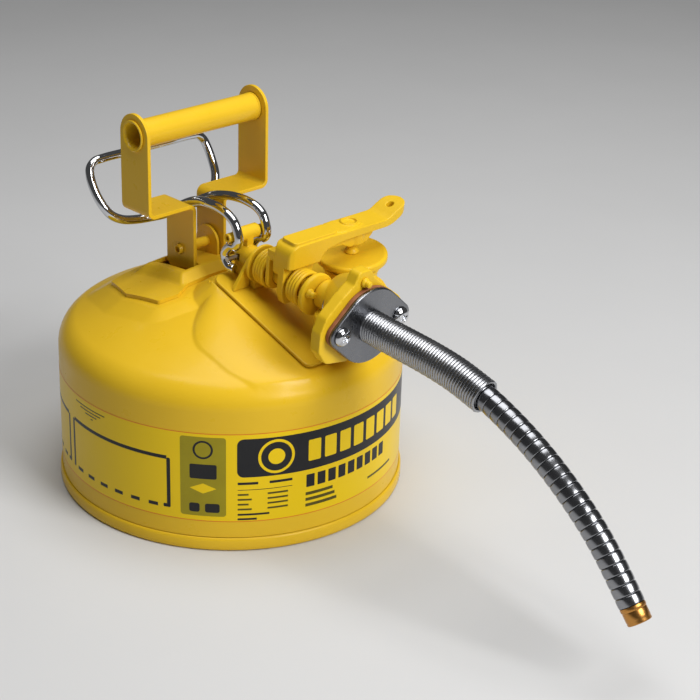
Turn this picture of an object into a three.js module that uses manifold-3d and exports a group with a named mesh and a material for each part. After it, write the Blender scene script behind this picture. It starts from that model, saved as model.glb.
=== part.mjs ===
// Steel safety gas can: a round can body with a stamped dome, a swinging carry handle, a wire
// trigger that draws the pour valve back, a sprung fill lid and a flexible metal pour hose.
// Millimetres, +Z up, +X the way it pours, +Y towards the fill lid.
import * as THREE from "three";
import { mergeVertices } from "three/addons/utils/BufferGeometryUtils.js";
import Module from "manifold-3d";

const wasm = await Module();
wasm.setup();

// ---- driving dimensions -------------------------------------------------------------------
const GAP = 0.3; // clearance between touching pieces
const DEG = Math.PI / 180;

const CAN = { radius: 118.9, wall: 1.2, bottom: 9.7, wallTop: 97, shoulderZ: 99.5, shoulderR: 20.5, slope: 23 * DEG };
const SEAM = { radius: 120.65, height: 9.4, floor: 6.5, sheet: 1.2 };

const PLATE = { x: 10.8, z: 152.8, tilt: 18.25 * DEG, rear: -2, front: 99, near: -24, far: 76, thick: 2.6 };
const PLATE_REACH = 111; // the base plate and its pad stay inside this distance from the can's axis

const POUR = { x: 9.5, z: 166.3, tilt: 5.48 * DEG }; // rear end of the pour axis
const STEM = { radius: 4, bore: 4.4, rear: -1, pinAt: 6, pinR: 1.8, pinHalf: 16.3 };
const HUB = { radius: 8, front: 21.7, flangeR: 13.5, flangeFront: 24 };
const SPINDLE = { radius: 7, rear: 24.3, front: 73.7 };
const FULCRUM = { s: 5.3, w: 15.6, tubeR: 5, half: 8.6, pinR: 3.1, pinBore: 1.6, pinHalf: 17 };
const COIL = { radius: 11.2, wire: 1.3, turns: 4.4 };
const HOUSING = { rear: 80, front: 113.2, flangeFront: 121.6, rearR: 17, frontR: 29, bore: 13 };
const VALVE = { springAt: 91.2, springRoom: 10.2, chamberAt: 97, seatAt: 108, inletAt: 92, inletR: 5.5 };
const HOSE_FLANGE = { rear: 125, front: 127.8, endR: 8.5, midR: 25.7, screwY: 25.3 };

const LID = { s: 52.3, y: 53.5, w: 6.6, tilt: 5.3 * DEG, radius: 24.3, thick: 5 };
const NECK = { radius: 17.8, bore: 16.2, top: -8.9, depth: 47 };
const LEVER = { s: 53, half: 9.5, neckRear: 45.5, tipY: 85.5, tipR: 9.4, holeY: 85, holeR: 2.5 };

const HANDLE = { x: -36.5, pivotZ: 157.5, width: 29.5, strap: 2.6, legY: 13.3, outerY: 51.2, gripZ: 246.7 };
const HANDLE_LEG = { bottomRear: 141.4, bottomFront: 147, shelfZ: 192.3, bend: 4.4 };
const GRIP = { radius: 9.5, bore: 8, half: 54.2, flareR: 10.75, flareAt: 52.9 };
const PIVOT = { radius: 3.5, bore: 2.2, half: 17.4, hole: 3.8 };
const SADDLE = { thick: 2.5, lugY: 8.9, lugThick: 2.2, lugR: 11.5 };

const WIRE_R = 3.175; // 1/4 inch trigger wire
const HOSE = { radius: 7.95, guardR: 11, tipR: 7.4, tipLength: 11 };

// The box of everything but the hose is centred on the origin, so the can's axis sits behind it.
const FRONT_REACH = 140.6;
const CAN_X = (SEAM.radius - FRONT_REACH) / 2;

// ---- materials ----------------------------------------------------------------------------
const paint = new THREE.MeshStandardMaterial({ color: 0xf0b413, roughness: 0.35, metalness: 0 });
const darkPaint = new THREE.MeshStandardMaterial({ color: 0xc8920f, roughness: 0.45, metalness: 0 });
const chrome = new THREE.MeshStandardMaterial({ color: 0xc9ccd0, roughness: 0.12, metalness: 1 });
const steel = new THREE.MeshStandardMaterial({ color: 0x6d7075, roughness: 0.3, metalness: 1 });
const brass = new THREE.MeshStandardMaterial({ color: 0xb0702c, roughness: 0.35, metalness: 1 });
const rubber = new THREE.MeshStandardMaterial({ color: 0x1c1c1c, roughness: 0.8, metalness: 0 });
const cork = new THREE.MeshStandardMaterial({ color: 0x8a5a3a, roughness: 0.8, metalness: 0 });

// ---- solids -------------------------------------------------------------------------------
function signedVolume(position, index) {
  const a = new THREE.Vector3();
  const b = new THREE.Vector3();
  const c = new THREE.Vector3();
  let total = 0;
  for (let i = 0; i < index.length; i += 3) {
    a.fromBufferAttribute(position, index[i]);
    b.fromBufferAttribute(position, index[i + 1]);
    c.fromBufferAttribute(position, index[i + 2]);
    total += a.dot(b.cross(c));
  }
  return total;
}

// A closed three.js geometry as a manifold solid with its faces pointing out.
function solid(geometry) {
  const bare = geometry.clone();
  bare.deleteAttribute("normal");
  bare.deleteAttribute("uv");
  const merged = mergeVertices(bare, 1e-4);
  const all = merged.index.array;
  const index = [];
  for (let i = 0; i < all.length; i += 3) {
    const [a, b, c] = [all[i], all[i + 1], all[i + 2]];
    if (a !== b && b !== c && c !== a) index.push(a, b, c);
  }
  const position = merged.getAttribute("position");
  if (signedVolume(position, index) < 0) index.reverse();
  const vertProperties = Float32Array.from(position.array);
  return new wasm.Manifold(new wasm.Mesh({ numProp: 3, vertProperties, triVerts: Uint32Array.from(index) }));
}

function join(...parts) {
  return parts.reduce((sum, part) => sum.add(part));
}

function cut(body, ...tools) {
  return tools.reduce((rest, tool) => rest.subtract(tool), body);
}

function toGeometry(manifold) {
  const data = manifold.getMesh();
  const geometry = new THREE.BufferGeometry();
  geometry.setAttribute("position", new THREE.BufferAttribute(Float32Array.from(data.vertProperties), 3));
  geometry.setIndex(Array.from(data.triVerts));
  geometry.computeVertexNormals();
  return geometry;
}

// Turned shape about +Z from (radius, height) points; a ring's profile closes on itself.
function turned(points, segments = 48, ring = false) {
  const outline = points.map(([r, z]) => new THREE.Vector2(r, z));
  if (ring) outline.push(outline[0].clone());
  return new THREE.LatheGeometry(outline, segments).rotateX(Math.PI / 2);
}

// The same, turned about +X, with (radius, distance) points.
function turnedX(points, segments = 32, ring = false) {
  return turned(points, segments, ring).rotateY(Math.PI / 2);
}

function rod(radius, from, to, segments = 24) {
  return turned([[0, from], [radius, from], [radius, to], [0, to]], segments);
}

function rodX(radius, from, to, segments = 24) {
  return rod(radius, from, to, segments).rotateY(Math.PI / 2);
}

function rodY(radius, from, to, segments = 24) {
  return rod(radius, -to, -from, segments).rotateX(Math.PI / 2);
}

// Round bar between two points given as [x, y, z].
function rodBetween(from, to, radius, segments = 24) {
  const start = new THREE.Vector3(...from);
  const along = new THREE.Vector3(...to).sub(start);
  const turn = new THREE.Quaternion().setFromUnitVectors(new THREE.Vector3(0, 0, 1), along.clone().normalize());
  const frame = new THREE.Matrix4().makeRotationFromQuaternion(turn).setPosition(start);
  return rod(radius, 0, along.length(), segments).applyMatrix4(frame);
}

function ringOf(inner, outer, from, to) {
  return [[inner, from], [outer, from], [outer, to], [inner, to]];
}

function polygon(points) {
  return new THREE.Shape(points.map(([x, y]) => new THREE.Vector2(x, y)));
}

// Flat outline pushed along Z, Y or X. The outline's axes are (x, y), (x, z) and (y, z).
function slab(shape, from, to, curveSegments = 12) {
  const depth = to - from;
  return new THREE.ExtrudeGeometry(shape, { depth, bevelEnabled: false, curveSegments }).translate(0, 0, from);
}

function slabY(shape, from, to, curveSegments = 12) {
  return slab(shape, -to, -from, curveSegments).rotateX(Math.PI / 2);
}

function slabX(shape, from, to, curveSegments = 12) {
  const turn = new THREE.Matrix4().makeBasis(
    new THREE.Vector3(0, 1, 0),
    new THREE.Vector3(0, 0, 1),
    new THREE.Vector3(1, 0, 0),
  );
  return slab(shape, from, to, curveSegments).applyMatrix4(turn);
}

function box(x0, x1, y0, y1, z0, z1) {
  return slab(polygon([[x0, y0], [x1, y0], [x1, y1], [x0, y1]]), z0, z1);
}

function roundShape(radius) {
  const shape = new THREE.Shape();
  shape.absarc(0, 0, radius, 0, 2 * Math.PI, false);
  return shape;
}

// Round bar along a path of points, with an even number of sides.
function bar(points, radius, steps, sides) {
  const extrudePath = new THREE.CatmullRomCurve3(points, false, "centripetal");
  return new THREE.ExtrudeGeometry(roundShape(radius), { steps, curveSegments: sides / 2, extrudePath });
}

// Outline with rounded corners from a list of [x, y, radius].
function rounded(corners) {
  const shape = new THREE.Shape();
  const at = (i) => new THREE.Vector2(...corners[(i + corners.length) % corners.length].slice(0, 2));
  corners.forEach((corner, i) => {
    const here = at(i);
    const radius = corner[2];
    const before = at(i - 1).sub(here).normalize();
    const after = at(i + 1).sub(here).normalize();
    const reach = radius / Math.tan(Math.acos(before.dot(after)) / 2);
    const start = here.clone().addScaledVector(before, reach);
    const end = here.clone().addScaledVector(after, reach);
    if (i === 0) shape.moveTo(start.x, start.y);
    else shape.lineTo(start.x, start.y);
    if (radius > 0) shape.quadraticCurveTo(here.x, here.y, end.x, end.y);
  });
  shape.closePath();
  return shape;
}

// ---- frames -------------------------------------------------------------------------------
const plateFrame = new THREE.Matrix4().makeRotationY(PLATE.tilt).setPosition(PLATE.x, 0, PLATE.z);
const pourFrame = new THREE.Matrix4().makeRotationY(POUR.tilt).setPosition(POUR.x, 0, POUR.z);
const lidInPour = new THREE.Matrix4().makeRotationX(LID.tilt).setPosition(LID.s, LID.y, LID.w);
const lidFrame = pourFrame.clone().multiply(lidInPour);
const toPour = pourFrame.clone().invert();
const plateInPour = toPour.clone().multiply(plateFrame);

const object = new THREE.Group();
const can = new THREE.Group();
can.position.x = CAN_X;
object.add(can);
const pour = new THREE.Group();
pour.applyMatrix4(pourFrame);
can.add(pour);
const lid = new THREE.Group();
lid.applyMatrix4(lidInPour);
pour.add(lid);
const plate = new THREE.Group();
plate.applyMatrix4(plateFrame);
can.add(plate);

function add(parent, name, shape, material) {
  const geometry = shape.isBufferGeometry ? toGeometry(solid(shape)) : toGeometry(shape);
  const mesh = new THREE.Mesh(geometry, material);
  mesh.name = name;
  parent.add(mesh);
}

// ---- can body -----------------------------------------------------------------------------
// Straight wall, shoulder arc and shallow dome, all moved in by `inset`, from `bottom` to the axis.
function domeProfile(inset, bottom, steps = 5) {
  const wall = CAN.radius - inset;
  const centreR = CAN.radius - CAN.shoulderR;
  const turn = Math.PI / 2 - CAN.slope;
  const points = [[0, bottom], [wall, bottom]];
  for (let i = 0; i <= steps; i += 1) {
    const angle = (turn * i) / steps;
    const radius = CAN.shoulderR - inset;
    points.push([centreR + radius * Math.cos(angle), CAN.shoulderZ + radius * Math.sin(angle)]);
  }
  const joinR = centreR + CAN.shoulderR * Math.cos(turn);
  const joinZ = CAN.shoulderZ + CAN.shoulderR * Math.sin(turn);
  const capR = joinR / Math.sin(CAN.slope);
  const capZ = joinZ - capR * Math.cos(CAN.slope);
  for (let i = steps - 1; i >= 0; i -= 1) {
    const angle = (CAN.slope * i) / steps;
    points.push([(capR - inset) * Math.sin(angle), capZ + (capR - inset) * Math.cos(angle)]);
  }
  return points;
}

function dome(inset, bottom) {
  return solid(turned(domeProfile(inset, bottom), 72));
}

// Pad raised out of the dome under the base plate, with sides that slope out as they go down.
function padSolid(shrink) {
  const { rear, front, near, far, thick } = PLATE;
  const shape = rounded([
    [rear - 2 + shrink, near - 2 + shrink, 8],
    [front + 2 - shrink, near - 2 + shrink, 8],
    [front + 2 - shrink, far + 2 - shrink, 16],
    [rear - 2 + shrink, far + 2 - shrink, 16],
  ]);
  const top = -thick - GAP - shrink;
  const drop = 22;
  const geometry = slab(shape, top - drop, top);
  const position = geometry.getAttribute("position");
  const middleX = (rear + front) / 2;
  for (let i = 0; i < position.count; i += 1) {
    if (position.getZ(i) < top - drop / 2) {
      const flareX = position.getX(i) < middleX ? -14 : 6;
      const flareY = position.getY(i) < 0 ? -20 : 20;
      position.setXY(i, position.getX(i) + flareX, position.getY(i) + flareY);
    }
  }
  const reach = solid(rod(PLATE_REACH + 2 - shrink, 96 + shrink, 180, 72));
  return solid(geometry.applyMatrix4(plateFrame)).intersect(reach);
}

// Space above the pad, where a dome that would stand higher is pressed flat instead.
function padHeadroom(shrink) {
  const { rear, front, near, far, thick } = PLATE;
  const [x0, x1, y0, y1] = [rear - 2 - shrink, front + 20, near - 2 - shrink, far + 2 + shrink];
  return solid(box(x0, x1, y0, y1, -thick - GAP - shrink, 40).applyMatrix4(plateFrame));
}

const fillHole = solid(rod(15.6, -80, 0, 32).applyMatrix4(lidFrame));
const inletHole = solid(rod(VALVE.inletR, -80, 0).translate(VALVE.inletAt, 0, 0).applyMatrix4(pourFrame));

const outerSkin = cut(join(dome(0, CAN.bottom), padSolid(0)), padHeadroom(0));
const innerSkin = cut(join(dome(CAN.wall, CAN.bottom - 5), padSolid(CAN.wall)), padHeadroom(CAN.wall));
const belowTop = solid(rod(CAN.radius + 5, -10, CAN.wallTop + GAP, 72));
add(can, "can_top", cut(outerSkin, innerSkin, belowTop, fillHole, inletHole), paint);

const wallProfile = ringOf(CAN.radius - CAN.wall, CAN.radius, CAN.bottom, CAN.wallTop);
add(can, "can_wall", turned(wallProfile, 72, true), paint);

const seamProfile = [
  [0, SEAM.floor], [112, SEAM.floor], [114.6, 4], [115.4, 0.6], [116.2, 0], [119.4, 0],
  [SEAM.radius, 1.2], [SEAM.radius, 8.3], [119.7, SEAM.height], [116.6, SEAM.height],
  [116.2, SEAM.floor + SEAM.sheet], [0, SEAM.floor + SEAM.sheet],
];
add(can, "bottom_pan", turned(seamProfile, 72), paint);

// ---- base plate ---------------------------------------------------------------------------
const plateOutline = rounded([
  [PLATE.rear, PLATE.near, 7], [PLATE.front, PLATE.near, 5], [PLATE.front, PLATE.far, 12],
  [PLATE.rear, PLATE.far, 12],
]);
const toPlate = plateFrame.clone().invert();
const plateLimit = solid(rod(PLATE_REACH, 60, 200, 72).applyMatrix4(toPlate));
const plateHoles = [fillHole, inletHole].map((hole) => hole.transform(toPlate.elements));
const plateBody = solid(slab(plateOutline, -PLATE.thick, 0)).intersect(plateLimit);
add(plate, "base_plate", cut(plateBody, ...plateHoles), paint);

// Everything under the base plate's top, in the pour axis frame.
const underPlate = solid(box(-80, 200, -150, 150, -120, GAP).applyMatrix4(plateInPour));

// ---- handle saddle and pivot --------------------------------------------------------------
const saddleOutline = rounded([
  [-67, -50, 3], [-34, -66, 3], [-2, -61, 3], [4, -47, 3], [-3.5, -33, 4], [-3.5, 33, 4],
  [4, 47, 3], [-2, 61, 3], [-34, 66, 3], [-67, 50, 3], [-70, 30, 3], [-70, -30, 3],
]);
const legSlot = (side) => {
  const [y0, y1] = side < 0 ? [-21, -11.4] : [11.4, 21];
  return solid(box(-56, -17, y0, y1, 120, 160));
};
const padClearance = solid(
  slab(rounded([[-6, -30, 4], [80, -30, 4], [80, 90, 4], [-6, 90, 4]]), -60, 20).applyMatrix4(plateFrame),
);
const saddleSheet = cut(
  dome(-GAP - SADDLE.thick, 60).intersect(solid(slab(saddleOutline, 90, 160))),
  legSlot(-1), legSlot(1), padClearance,
);
const lugOutline = new THREE.Shape();
lugOutline.moveTo(HANDLE.x - SADDLE.lugR, 138.4);
lugOutline.lineTo(HANDLE.x + SADDLE.lugR, 138.4);
lugOutline.lineTo(HANDLE.x + SADDLE.lugR, HANDLE.pivotZ);
lugOutline.absarc(HANDLE.x, HANDLE.pivotZ, SADDLE.lugR, 0, Math.PI, false);
lugOutline.closePath();
const pivotBore = solid(rodY(PIVOT.radius + GAP, -30, 30).translate(HANDLE.x, 0, HANDLE.pivotZ));
const lugs = [-1, 1].map((side) => {
  const inner = SADDLE.lugY;
  const outer = inner + SADDLE.lugThick;
  const [from, to] = side < 0 ? [-outer, -inner] : [inner, outer];
  return solid(slabY(lugOutline, from, to));
});
add(can, "handle_saddle", cut(join(saddleSheet, ...lugs), dome(-GAP, 50), outerSkin, pivotBore), paint);

const pivotTube = turned(ringOf(PIVOT.bore, PIVOT.radius, -PIVOT.half, PIVOT.half), 20, true);
add(can, "handle_pivot_pin", pivotTube.rotateX(Math.PI / 2).translate(HANDLE.x, 0, HANDLE.pivotZ), paint);

// ---- handle -------------------------------------------------------------------------------
// One bent strap: lower leg, shelf out to the side and upper leg with a rounded top.
function handleArm(side) {
  const { strap, legY, outerY, width, x, gripZ } = HANDLE;
  const { bottomRear, bottomFront, shelfZ, bend } = HANDLE_LEG;
  const h = strap / 2;
  const top = gripZ + width / 2;
  const strip = rounded([
    [legY - h, 138, 0], [legY + h, 138, 0], [legY + h, shelfZ - h, bend - h], [outerY + h, shelfZ - h, bend + h],
    [outerY + h, top, 0], [outerY - h, top, 0], [outerY - h, shelfZ + h, bend - h], [legY - h, shelfZ + h, bend + h],
  ]);
  const front = x + width / 2;
  const rear = x - width / 2;
  const blank = solid(slabX(strip, rear, front, 5));
  const face = new THREE.Shape();
  face.moveTo(rear, bottomRear + 4);
  face.lineTo(rear + 4, bottomRear);
  face.lineTo(front, bottomFront);
  face.lineTo(front, gripZ);
  face.absarc(x, gripZ, width / 2, 0, Math.PI, false);
  face.closePath();
  const trimmed = blank.intersect(solid(slabY(face, -80, 80, 20)));
  const gripHole = solid(rodY(GRIP.radius + GAP, 40, 60, 28).translate(x, 0, gripZ));
  const pinHole = solid(rodY(PIVOT.hole, 5, 30).translate(x, 0, HANDLE.pivotZ));
  const arm = cut(trimmed, gripHole, pinHole);
  return side > 0 ? arm : arm.mirror([0, 1, 0]);
}
add(can, "handle_arm_near", handleArm(-1), paint);
add(can, "handle_arm_far", handleArm(1), paint);

const { flareR, flareAt } = GRIP;
const gripProfile = [
  [GRIP.bore, -GRIP.half + 0.6], [flareR - 0.8, -GRIP.half], [flareR, -GRIP.half + 0.7], [flareR, -flareAt],
  [GRIP.radius, -flareAt], [GRIP.radius, flareAt], [flareR, flareAt], [flareR, GRIP.half - 0.7],
  [flareR - 0.8, GRIP.half], [GRIP.bore, GRIP.half - 0.6],
];
const gripTube = turned(gripProfile, 32, true).rotateX(Math.PI / 2).translate(HANDLE.x, 0, HANDLE.gripZ);
add(can, "handle_grip", gripTube, paint);

// ---- trigger: one chrome wire, symmetric about the XZ plane --------------------------------
// Half of the path, from the hook round the stem pin, round the fulcrum pin and back to the rear bar.
const stemPin = new THREE.Vector3(STEM.pinAt, 0, 0).applyMatrix4(pourFrame);
const fulcrum = new THREE.Vector3(FULCRUM.s, 0, FULCRUM.w).applyMatrix4(pourFrame);
const HOOK_Y = 12.3;
const HOOK_R = 6.9;
const WRAP_R = 6.75;
function around(centre, radius, degrees) {
  const angle = degrees * DEG;
  return new THREE.Vector3(centre.x + radius * Math.cos(angle), HOOK_Y, centre.z + radius * Math.sin(angle));
}
const halfWire = [
  ...[-72, -98, -125, -160, -195, -228].map((angle) => around(stemPin, HOOK_R, angle)),
  ...[-98, -62, -30, 0, 30].map((angle) => around(fulcrum, WRAP_R, angle)),
  ...[
    [18.9, 12.3, 191.4], [12.9, 12.2, 195.3], [2, 11.6, 197.4], [-10, 10.6, 197.2], [-20, 8.9, 195.7],
    [-30, 8.1, 192.6], [-41, 8.1, 187], [-52, 8.1, 179.8], [-60.5, 9.6, 174.6], [-66.5, 16, 172.4],
    [-69.5, 27, 172.4], [-71, 38, 174.6], [-73, 46, 179.2], [-76.6, 50.2, 186], [-82.4, 52, 194.6],
    [-87.6, 51.8, 203.6], [-90.2, 50, 209.4], [-91.2, 45.4, 213], [-91.4, 38, 213.8], [-91.4, 20, 213.8],
  ].map(([x, y, z]) => new THREE.Vector3(x, y, z)),
];
const otherHalf = halfWire.map((p) => new THREE.Vector3(p.x, -p.y, p.z)).reverse();
add(can, "trigger_bail", bar([...halfWire, ...otherHalf], WIRE_R, 136, 8), chrome);

// ---- fulcrum post and hub -----------------------------------------------------------------
const hubBody = solid(turnedX([
  [0, STEM.rear], [HUB.radius - 1, STEM.rear], [HUB.radius, 0], [HUB.radius, HUB.front - 1.6],
  [HUB.flangeR, HUB.front], [HUB.flangeR, HUB.flangeFront], [0, HUB.flangeFront],
], 32));
const crossTube = solid(rodY(FULCRUM.tubeR, -FULCRUM.half, FULCRUM.half).translate(FULCRUM.s, 0, FULCRUM.w));
const web = solid(box(FULCRUM.s - 4, FULCRUM.s + 5, -2.75, 2.75, 4, FULCRUM.w));
const pedestal = solid(box(2, HUB.flangeFront, -6, 6, -40, -4));
const stemBore = solid(rodX(STEM.bore, -20, 130, 20));
const pinSlot = solid(box(-10, STEM.pinAt + 2.6, -20, 20, -2.4, 2.4));
const fulcrumBore = solid(rodY(FULCRUM.pinR + GAP, -20, 20).translate(FULCRUM.s, 0, FULCRUM.w));
const post = cut(join(hubBody, crossTube, web, pedestal), stemBore, pinSlot, fulcrumBore, underPlate);
add(pour, "fulcrum_post", post, paint);

const fulcrumTube = turned(ringOf(FULCRUM.pinBore, FULCRUM.pinR, -FULCRUM.pinHalf, FULCRUM.pinHalf), 16, true);
add(pour, "fulcrum_pin", fulcrumTube.rotateX(Math.PI / 2).translate(FULCRUM.s, 0, FULCRUM.w), paint);

// Triangular ribs that brace the hub, one each side.
function gusset(side) {
  const fin = solid(slabX(polygon([[8.4, 3], [8.4, -40], [26, -40], [21.5, -19]]), 16.9, 19.7));
  const trimmed = cut(fin, underPlate);
  return side > 0 ? trimmed : trimmed.mirror([0, 1, 0]);
}
add(pour, "gusset_near", gusset(-1), paint);
add(pour, "gusset_far", gusset(1), paint);

add(pour, "spindle_tube", turnedX(ringOf(STEM.bore, SPINDLE.radius, SPINDLE.rear, SPINDLE.front), 24, true), paint);

// ---- torsion springs ----------------------------------------------------------------------
function torsionSpring(from, length) {
  const points = [];
  const perTurn = 14;
  const count = Math.round(COIL.turns * perTurn);
  for (let i = 0; i <= count; i += 1) {
    const angle = (2 * Math.PI * i) / perTurn - Math.PI / 2;
    const s = from + COIL.wire + ((length - 2 * COIL.wire) * i) / count;
    points.push(new THREE.Vector3(s, COIL.radius * Math.cos(angle), COIL.radius * Math.sin(angle)));
  }
  return bar(points, COIL.wire, count, 6);
}
add(pour, "rear_torsion_spring", torsionSpring(24.6, 14), paint);
add(pour, "front_torsion_spring", torsionSpring(57.6, 13.4), paint);

// ---- fill lid lever -----------------------------------------------------------------------
// Side outline in (y, w), knuckle round the spindle at the left and the thumb end at the right.
const leverSide = new THREE.Shape();
leverSide.moveTo(-12, 13.6);
leverSide.lineTo(-12, 22);
leverSide.quadraticCurveTo(-11, 29.2, -3, 29.8);
leverSide.lineTo(24, 31);
leverSide.quadraticCurveTo(31, 31.2, 33, 29.3);
leverSide.lineTo(46, 29.2);
leverSide.lineTo(72, 28.9);
leverSide.bezierCurveTo(79, 29, 81, 35, 94, 36.9);
leverSide.lineTo(105, 38);
leverSide.lineTo(105, 34);
leverSide.bezierCurveTo(90, 33, 86, 24.4, 74, 23.6);
leverSide.lineTo(51, 23.5);
leverSide.lineTo(36, 23.3);
leverSide.quadraticCurveTo(22, 21.6, 16.4, 16.6);
leverSide.lineTo(14.4, 13.6);
leverSide.closePath();
const leverPlan = new THREE.Shape();
leverPlan.moveTo(LEVER.neckRear, -14);
leverPlan.lineTo(LEVER.s + LEVER.half, -14);
leverPlan.lineTo(LEVER.s + LEVER.half, 76);
leverPlan.lineTo(LEVER.s + LEVER.tipR, LEVER.tipY);
leverPlan.absarc(LEVER.s, LEVER.tipY, LEVER.tipR, 0, Math.PI, false);
leverPlan.lineTo(LEVER.s - LEVER.half, 76);
leverPlan.lineTo(LEVER.s - LEVER.half, 36);
leverPlan.quadraticCurveTo(LEVER.s - LEVER.half, 31, LEVER.neckRear, 28);
leverPlan.closePath();
const leverBar = solid(slabX(leverSide, 30, 80, 8)).intersect(solid(slab(leverPlan, 0, 60, 8)));
const stiffenerSide = rounded([[10, 25, 0], [14, 17.8, 4], [38, 17.8, 2], [45, 14.5, 2], [61, 14.5, 4], [70, 25, 0]]);
const stiffener = solid(slabX(stiffenerSide, 47.4, 58.2));
const postCollar = solid(rod(7.4, 14.5, 25, 24).translate(LID.s, LID.y, 0));
const knuckleSide = rounded([
  [-12, 16.5, 0], [-12, -6, 4], [-9, -13.6, 2.5], [-3, -13.6, 2.5], [-1, -12, 1], [9, -9, 8], [13.5, 4, 5], [16, 16.5, 0],
]);
const knuckle = solid(slabX(knuckleSide, 46.2, 57));
const rearCheek = solid(slabX(rounded([[-12, 15.5, 0], [-12, -9, 8], [12, -9, 8], [12, 15.5, 0]]), 39.5, 42.5));
const cheekBridge = solid(box(39.5, 47, -11.5, 14, 14, 21));
const spindleBore = solid(rodX(SPINDLE.radius + 0.4, 30, 80, 28));
const padlockHole = solid(rod(LEVER.holeR, 0, 60, 16).translate(LEVER.s, LEVER.holeY, 0));
const emblemBoss = solid(
  slab(roundShape(5.85), 0, 1.2, 16).scale(0.86, 1, 1).translate(LEVER.s, 47.5, 28.6),
);
const leverParts = join(leverBar, stiffener, postCollar, knuckle, rearCheek, cheekBridge, emblemBoss);
const lever = cut(leverParts, spindleBore, padlockHole);
add(pour, "fill_lid_lever", lever, paint);

const lidStack = {
  post: [[0, GAP], [4.8, GAP], [4.8, 2.4], [3.4, 3], [3.4, 7.2], [0, 7.2]],
  cap: [
    [0, -LID.thick], [LID.radius - 1, -LID.thick], [LID.radius, -LID.thick + 1], [LID.radius, -1.4],
    [LID.radius - 1.4, 0], [0, 0],
  ],
  gasket: ringOf(NECK.bore - 2.5, NECK.radius + 1.2, -LID.thick - 3.3, -LID.thick - GAP),
};
add(lid, "fill_lid_post", turned(lidStack.post, 20), paint);
add(lid, "fill_lid_cap", turned(lidStack.cap, 48), paint);
add(lid, "fill_lid_gasket", turned(lidStack.gasket, 32, true), rubber);

// ---- manifold housing ---------------------------------------------------------------------
// Cone that leans towards the fill side at its rear, so it runs from the neck to the hose flange.
function housingCone(rearR, frontR, rear, front) {
  const geometry = turnedX([[0, rear], [rearR, rear], [frontR, front], [0, front]], 40);
  const position = geometry.getAttribute("position");
  for (let i = 0; i < position.count; i += 1) {
    const t = (position.getX(i) - rear) / (front - rear);
    position.setY(i, position.getY(i) + 13 * (1 - t));
  }
  return geometry;
}
const housingOutline = rounded([
  [-34, 12, 6], [-21, 23, 6], [-12.5, 29, 4], [-9, 37, 4], [1, 37, 4], [5.5, 29.5, 4], [13, 23.5, 5], [30, 10, 5],
  [34, 2, 3], [30, -8, 5], [14, -22, 7], [-14, -24, 7], [-31, -21, 6], [-38, -11, 5], [-38, 2, 5],
]);
const cone = solid(housingCone(HOUSING.rearR, HOUSING.frontR, HOUSING.rear, HOUSING.front + 1));
const earPlate = solid(slabX(housingOutline, HOUSING.front, HOUSING.flangeFront));
const neckOuter = solid(turned([
  [0, -NECK.depth], [NECK.radius, -NECK.depth], [NECK.radius, NECK.top - 4], [NECK.radius + 1.4, NECK.top - 2.6],
  [NECK.radius + 1.4, NECK.top], [0, NECK.top],
], 40).applyMatrix4(lidInPour));
const duct = solid(rodBetween([93, 8, -10], [58, 46, -20], 11, 28));
const foot = solid(rod(11, -44, -8, 28).translate(VALVE.inletAt, 0, 0));
const chamber = solid(rodX(HOUSING.bore, VALVE.chamberAt, VALVE.seatAt, 28));
const springRoom = solid(rodX(VALVE.springRoom, VALVE.springAt - 1.2, VALVE.chamberAt + 1, 28));
const outlet = solid(rodX(9.6, VALVE.springAt, 130, 28));
const outletMouth = solid(rodX(12, VALVE.seatAt + 4, 130, 28));
const neckBore = solid(rod(NECK.bore, -60, 10, 36).applyMatrix4(lidInPour));
const inlet = solid(rod(VALVE.inletR, -60, 5).translate(VALVE.inletAt, 0, 0));
const hubRoom = solid(rodX(15.4, 40, HOUSING.rear - 0.5, 32));
const screwHoles = [-1, 1].map((side) => solid(
  rodX(2.4, 100, 130, 14).translate(0, side * HOSE_FLANGE.screwY, 0),
));
const housing = cut(
  join(cone, earPlate, neckOuter, duct, foot),
  underPlate, chamber, springRoom, outlet, outletMouth, neckBore, inlet, hubRoom, stemBore, ...screwHoles,
);
add(pour, "manifold_housing", housing, paint);

const gland = turnedX(ringOf(STEM.bore, 14.5, SPINDLE.front + GAP, SPINDLE.front + 4), 32, true);
add(pour, "stem_gland_plate", gland, paint);

// Small pins: one on the gland plate and one on the housing's ear.
function smallPin(s, y, w) {
  return turnedX([[0, s], [3.3, s], [3.3, s + 1.6], [2.1, s + 2.4], [2.1, s + 5], [0, s + 5]], 16).translate(0, y, w);
}
add(pour, "gland_rivet", smallPin(SPINDLE.front + 4.3, -8, 4), paint);
add(pour, "ear_rivet", smallPin(HOUSING.flangeFront + GAP, -4, 29.4), paint);

// ---- pour valve ---------------------------------------------------------------------------
const stemHole = solid(rodY(STEM.pinR + GAP, -10, 10, 14).translate(STEM.pinAt, 0, 0));
const stemRod = cut(solid(rodX(STEM.radius, STEM.rear, 103, 20)), stemHole);
add(pour, "valve_stem", stemRod, steel);
add(pour, "stem_cross_pin", rodY(STEM.pinR, -STEM.pinHalf, STEM.pinHalf, 14).translate(STEM.pinAt, 0, 0), steel);
add(pour, "pour_valve_disc", rodX(12.2, 103.3, 105.6, 28), brass);
add(pour, "pour_valve_seal", rodX(12, 105.9, 107.6, 28), rubber);

function valveSpring(from, to) {
  const turns = 5;
  const perTurn = 14;
  const points = [];
  for (let i = 0; i <= turns * perTurn; i += 1) {
    const angle = (2 * Math.PI * i) / perTurn;
    const s = from + ((to - from) * i) / (turns * perTurn);
    points.push(new THREE.Vector3(s, 8.6 * Math.cos(angle), 8.6 * Math.sin(angle)));
  }
  return bar(points, 0.8, turns * perTurn, 6);
}
add(pour, "pour_valve_spring", valveSpring(VALVE.springAt, 102), steel);

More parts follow.
